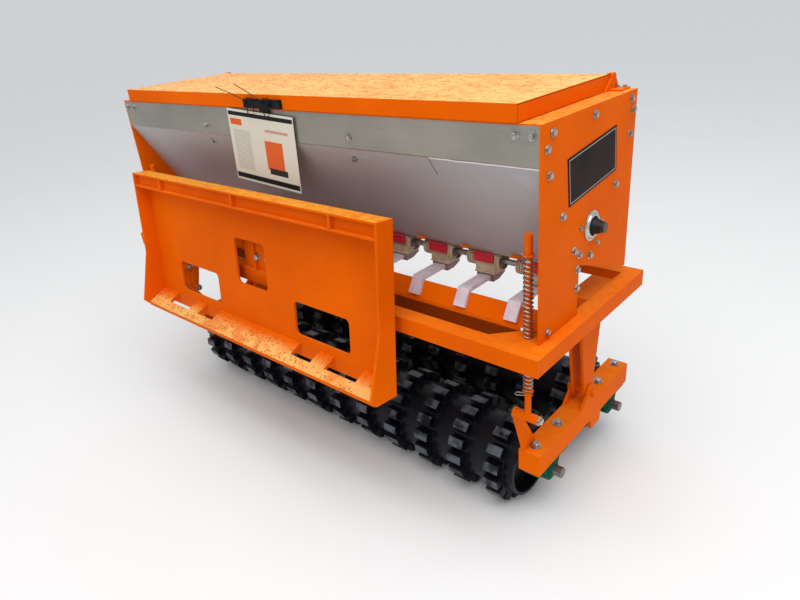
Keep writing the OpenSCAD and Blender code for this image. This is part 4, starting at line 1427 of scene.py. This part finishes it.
@dataclass
class Rods(Assembly):
    """The sprung rods with their round-wire coils, clips and barrel bolts."""

    side: float = 0.799
    back: float = -0.206
    springs: tuple[tuple[float, float, float], ...] = ((0.616, 0.203, 18.0), (0.468, 0.103, 9.0))  # z, length, turns
    wire: float = 2.0 * MM
    clip_wire: float = 1.25 * MM
    clip_sets: tuple[tuple[float, float, Point], ...] = (  # z, reach in millimetres, and direction on the right
        (0.8215, 24.0, (0.55, -0.30, -0.18)), (0.4535, 34.0, (-0.93, -0.34, -0.12)),
    )
    barrel: tuple[Pair, ...] = ((0.830, 1.0), (0.768, -1.0))  # x of each end, and its outward direction
    barrel_z: float = 0.390

    def dress(self) -> None:
        """Gives the rods their finish."""
        dress(ORANGE, "lift_rods")

    def make(self) -> None:
        """Winds the coils, and bends the wire clips above and below them."""
        self.coils()
        form = Form(ZINC)
        for sign in SIDES:
            for z, reach, (x, y, down) in self.clip_sets:
                centre = Vector((sign * self.side, self.back, z))
                self.clip(form, centre, Vector((sign * x, y, down)).normalized(), reach)
        form.piece("rod_clips", Body.MACHINE, smooth=60.0)

    def coils(self) -> None:
        """Winds the springs' coils, which stand for the CAD's."""
        recipe = coil_recipe()
        joined = bmesh.new()
        for base, length, turns in self.springs:
            points = [(sign * self.side, self.back, base + self.wire) for sign in SIDES]
            values = {
                "Turns": turns, "Length": length - 2 * self.wire, "Wire": self.wire, "Finish": COIL.material(),
            }
            coil = recipe.bake("coil", aimed_points(points, [UP] * len(points)), values, 60.0)
            joined.from_mesh(coil.data)
            bpy.data.objects.remove(coil)
        data = bpy.data.meshes.new("rod_coils")
        joined.to_mesh(data)
        joined.free()
        data.materials.append(COIL.material())
        made = add_object("rod_coils", data)
        settle(made, Body.MACHINE)
        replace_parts(made, "rod_springs")

    def clip(self, form: Form, centre: Vector, aim: Vector, reach: float) -> None:
        """Bends one wire clip through a rod.

        Args:
            form: The form that gathers the clips.
            centre: The clip's place on the rod's axis.
            aim: The direction in which its loop sticks out.
            reach: The loop's reach in millimetres.
        """
        side = aim.cross(Vector(UP)).normalized()
        spots = (
            (-12.0, 0.0), (10.0, 0.0), (reach - 6.0, 1.0), (reach - 1.5, 4.0), (reach, 8.5), (reach - 2.5, 12.5),
            (reach - 8.0, 13.5), (14.0, 11.0), (6.0, 12.0), (0.0, 12.6), (-6.0, 11.0), (-10.5, 13.5),
        )
        form.tube([centre + aim * (a * MM) + side * (b * MM) for a, b in spots], self.clip_wire)

    def fasten(self) -> None:
        """Sets the barrels' bolts with their nuts."""
        points = [(sign * x, self.back, self.barrel_z) for sign in SIDES for x, _ in self.barrel]
        aims = [(sign * out, 0.0, 0.0) for sign in SIDES for _, out in self.barrel]
        self.bolts.set_on("barrel_bolts", points, aims, 9.0, 12.0)


@dataclass
class Running(Assembly):
    """The rollers, arms, pillow blocks and the frame that they carry."""

    arm_x: float = 0.782
    arm_top: float = 0.244
    arm_foot: float = 0.162
    arm_bolts: tuple[float, ...] = (-0.136, -0.017, 0.235, 0.355)
    front_axis: Pair = (-0.077, 0.135)
    rear_axis: Pair = (0.295, 0.135)

    def dress(self) -> None:
        """Gives the running gear's nodes their finishes."""
        dress(ORANGE, "frame_front", "frame_rear", "frame_side_left", "frame_side_right")
        dress(ORANGE, "arm_left", "arm_right", "arm_brackets")
        dress(BlackIron("front roller iron", Slot.IRON, self.front_axis), "roller_front")
        dress(BlackIron("rear roller iron", Slot.IRON, self.rear_axis), "roller_rear")
        dress(GREEN, "pillow_blocks")

    def fasten(self) -> None:
        """Sets the bolts on the arms and their nuts below."""
        for name, z, aim, head, washer in (
            ("arm_bolts", self.arm_top, UP, 11.0, 15.0),
            ("block_nuts", self.arm_foot, (0.0, 0.0, -1.0), 9.5, 13.0),
        ):
            points = [(sign * self.arm_x, y, z) for sign in SIDES for y in self.arm_bolts]
            self.bolts.set_on(name, points, aim, head, washer)


@dataclass
class Meters(Assembly):
    """The row of seed meters with their shutters, boxes and tubes."""

    lip: tuple[Pair, ...] = ((-0.0760, 0.7350), (-0.0705, 0.7315), (-0.0705, 0.7375))
    lip_half: float = 26.0 * MM
    bore: float = 10.0 * MM
    flanges: tuple[Point, ...] = ((-0.031, -0.0285, 0.031), (0.0285, 0.0325, 0.0305))  # start, end, radius
    bar_y: Pair = (-0.0335, -0.0265)
    bar_z: Pair = (-0.0305, -0.0265)
    screw_x: float = 0.0410
    screw_ring: float = 0.0195

    def dress(self) -> None:
        """Gives the meters' nodes their finishes."""
        dress(HOUSING, "seed_meters")
        dress(RED, "meter_shutters")
        dress(FeedShaft("feed shaft", Slot.RIBBED), "meter_shaft")
        dress(SMOKED, "meter_boxes")
        dress(CLEAR, "seed_tubes")

    def make(self) -> None:
        """Makes the shutters' lips and the round bodies."""
        self.shutters()
        self.bodies()

    def shutters(self) -> None:
        """Makes the finger lips of the deep red shutters."""
        form = Form(RED)
        for x in METERS_X:
            form.prism(self.lip, x - self.lip_half, x + self.lip_half)
        form.piece("shutter_lips", Body.MACHINE, 0.6 * MM)

    def bodies(self) -> None:
        """Makes the end flanges and cross bars of the meters."""
        y, z = METER_AXIS
        form = Form(BEIGE)
        for x in METERS_X:
            for start, end, radius in self.flanges:
                start, end = x + start, x + end
                width = end - start
                profile = ((self.bore, 0.0), (radius - MM, 0.0), (radius, MM), (radius, width), (self.bore, width))
                form.lathe(profile, Vector((start, y, z)), Vector((1.0, 0.0, 0.0)), 28)
            low = (x + self.flanges[0][1], y + self.bar_y[0], z + self.bar_z[0])
            form.box(low, (x + self.flanges[1][0], y + self.bar_y[1], z + self.bar_z[1]))
        form.piece("meter_flanges", Body.MACHINE, 0.5 * MM)

    def fasten(self) -> None:
        """Sets four screws on the right face of each meter."""
        y, z = METER_AXIS
        turns = [math.radians(45.0 + 90.0 * k) for k in range(4)]
        ring = [(y + self.screw_ring * math.cos(a), z + self.screw_ring * math.sin(a)) for a in turns]
        points = [(x + self.screw_x, back, up) for x in METERS_X for back, up in ring]
        self.bolts.set_on("meter_screws", points, (1.0, 0.0, 0.0), 2.6, 3.4)


@dataclass
class Attachment(Assembly):
    """The loader's attachment plate with its lip, shelf, flanges and links."""

    link_x: Pair = (-0.545, 0.349)
    link_half: float = 34.5 * MM
    link_pins: tuple[Pair, ...] = ((-0.306, 0.557), (-0.292, 0.468))
    post_bolts: tuple[Point, ...] = ((-0.125, -0.276, 0.659), (-0.070, -0.276, 0.659))

    def dress(self) -> None:
        """Gives the plate's nodes their finishes."""
        dress(ORANGE, "attach_plate", "attach_flange_left", "attach_flange_right", "hitch_links", "hitch_brackets")
        dress(ORANGE_LIP, "attach_lip")
        dress(ORANGE_SHELF, "attach_shelf")

    def fasten(self) -> None:
        """Sets the heads and nuts of the links' pins and of the post's plate."""
        spots = [(x, y, z, sign) for x in self.link_x for y, z in self.link_pins for sign in SIDES]
        points = [(x + sign * self.link_half, y, z) for x, y, z, sign in spots]
        self.bolts.set_on("link_bolts", points, [(sign, 0.0, 0.0) for *_, sign in spots], 8.5, 11.0)
        self.bolts.set_on("post_bolts", self.post_bolts, TO_FRONT, 10.0, 13.0)


@dataclass
class Studio:
    """The floor, the sky, the lamp and the camera at the photograph's viewing angle."""

    eye: Point = (1.44674, -1.30918, 1.34154)
    right: Point = (0.75141107, 0.65424414, -0.08570892)
    down: Point = (0.22724445, -0.37853887, -0.89725597)
    forward: Point = (-0.61946862, 0.65473119, -0.43311165)
    lens: float = 27.92
    sensor: float = 36.0
    nearest: float = 0.05
    reach: float = 60.0
    sky: tuple[tuple[float, Colour], ...] = (
        (0.0, (0.42, 0.42, 0.43)), (0.25, (0.62, 0.63, 0.65)), (1.0, (0.92, 0.94, 0.97)),
    )
    horizon: Colour = (0.617, 0.631, 0.645)  # what the camera sees beyond the floor
    lamp_place: Point = (1.3, -1.1, 4.2)
    lamp_aim: Point = (0.0, 0.0, 0.6)
    lamp_size: Pair = (4.5, 3.5)
    lamp_power: float = 132.0

    def camera(self) -> None:
        """Sets the camera."""
        data = bpy.data.cameras.new("camera")
        data.lens = self.lens
        data.sensor_width = self.sensor
        data.clip_start = self.nearest
        made = add_object("camera", data)
        columns = (Vector(self.right), -Vector(self.down), -Vector(self.forward))
        turn = Matrix(columns).transposed().to_4x4()
        made.matrix_world = Matrix.Translation(Vector(self.eye)) @ turn
        bpy.context.scene.camera = made

    def floor(self) -> None:
        """Lays the floor."""
        data = bpy.data.meshes.new("floor")
        r = self.reach
        data.from_pydata([(-r, -r, 0.0), (r, -r, 0.0), (r, r, 0.0), (-r, r, 0.0)], [], [SQUARE])
        data.materials.append(StudioFloor("studio floor", None).material())
        add_object("floor", data)

    def lamp(self) -> None:
        """Hangs the soft lamp."""
        data = bpy.data.lights.new("sky_panel", "AREA")
        data.shape = "RECTANGLE"
        data.size, data.size_y = self.lamp_size
        data.energy = self.lamp_power
        made = add_object("sky_panel", data)
        made.location = self.lamp_place
        along = Vector(self.lamp_aim) - Vector(self.lamp_place)
        made.rotation_euler = along.to_track_quat("-Z", "Y").to_euler()

    def light(self) -> None:
        """Sets the sky, which is even where the camera sees it."""
        world = bpy.data.worlds.new("studio")
        bpy.context.scene.world = world
        world.use_nodes = True
        tree = Tree(world.node_tree)
        height = tree.node("ShaderNodeSeparateXYZ", None, {0: tree.node("ShaderNodeTexCoord").outputs["Generated"]})
        sky = tree.node("ShaderNodeValToRGB", {"stops": self.sky}, {0: height.outputs["Z"]})
        seen = tree.node("ShaderNodeLightPath").outputs["Is Camera Ray"]
        mixed = tree.node("ShaderNodeMix", {"data_type": "RGBA"}, {0: seen, 6: sky, 7: self.horizon})
        background = tree.node("ShaderNodeBackground", None, {"Color": mixed.outputs[2]})
        tree.node("ShaderNodeOutputWorld", None, {"Surface": background})
        bpy.context.scene.view_settings.view_transform = "Standard"

    def build(self) -> None:
        """Builds the stage."""
        self.camera()
        self.floor()
        self.light()
        self.lamp()
        LOG.info("stage, lights and camera are set")


def main() -> None:
    """Builds the drill's classes in order and reports each piece."""
    logging.basicConfig(level=logging.INFO, format="%(message)s", stream=sys.stdout)
    Studio().build()
    bolts = Fasteners()
    for part in (Hopper, Lid, Rods, Running, Meters, Attachment):
        part(bolts).build()


if __name__ == "__main__":
    main()
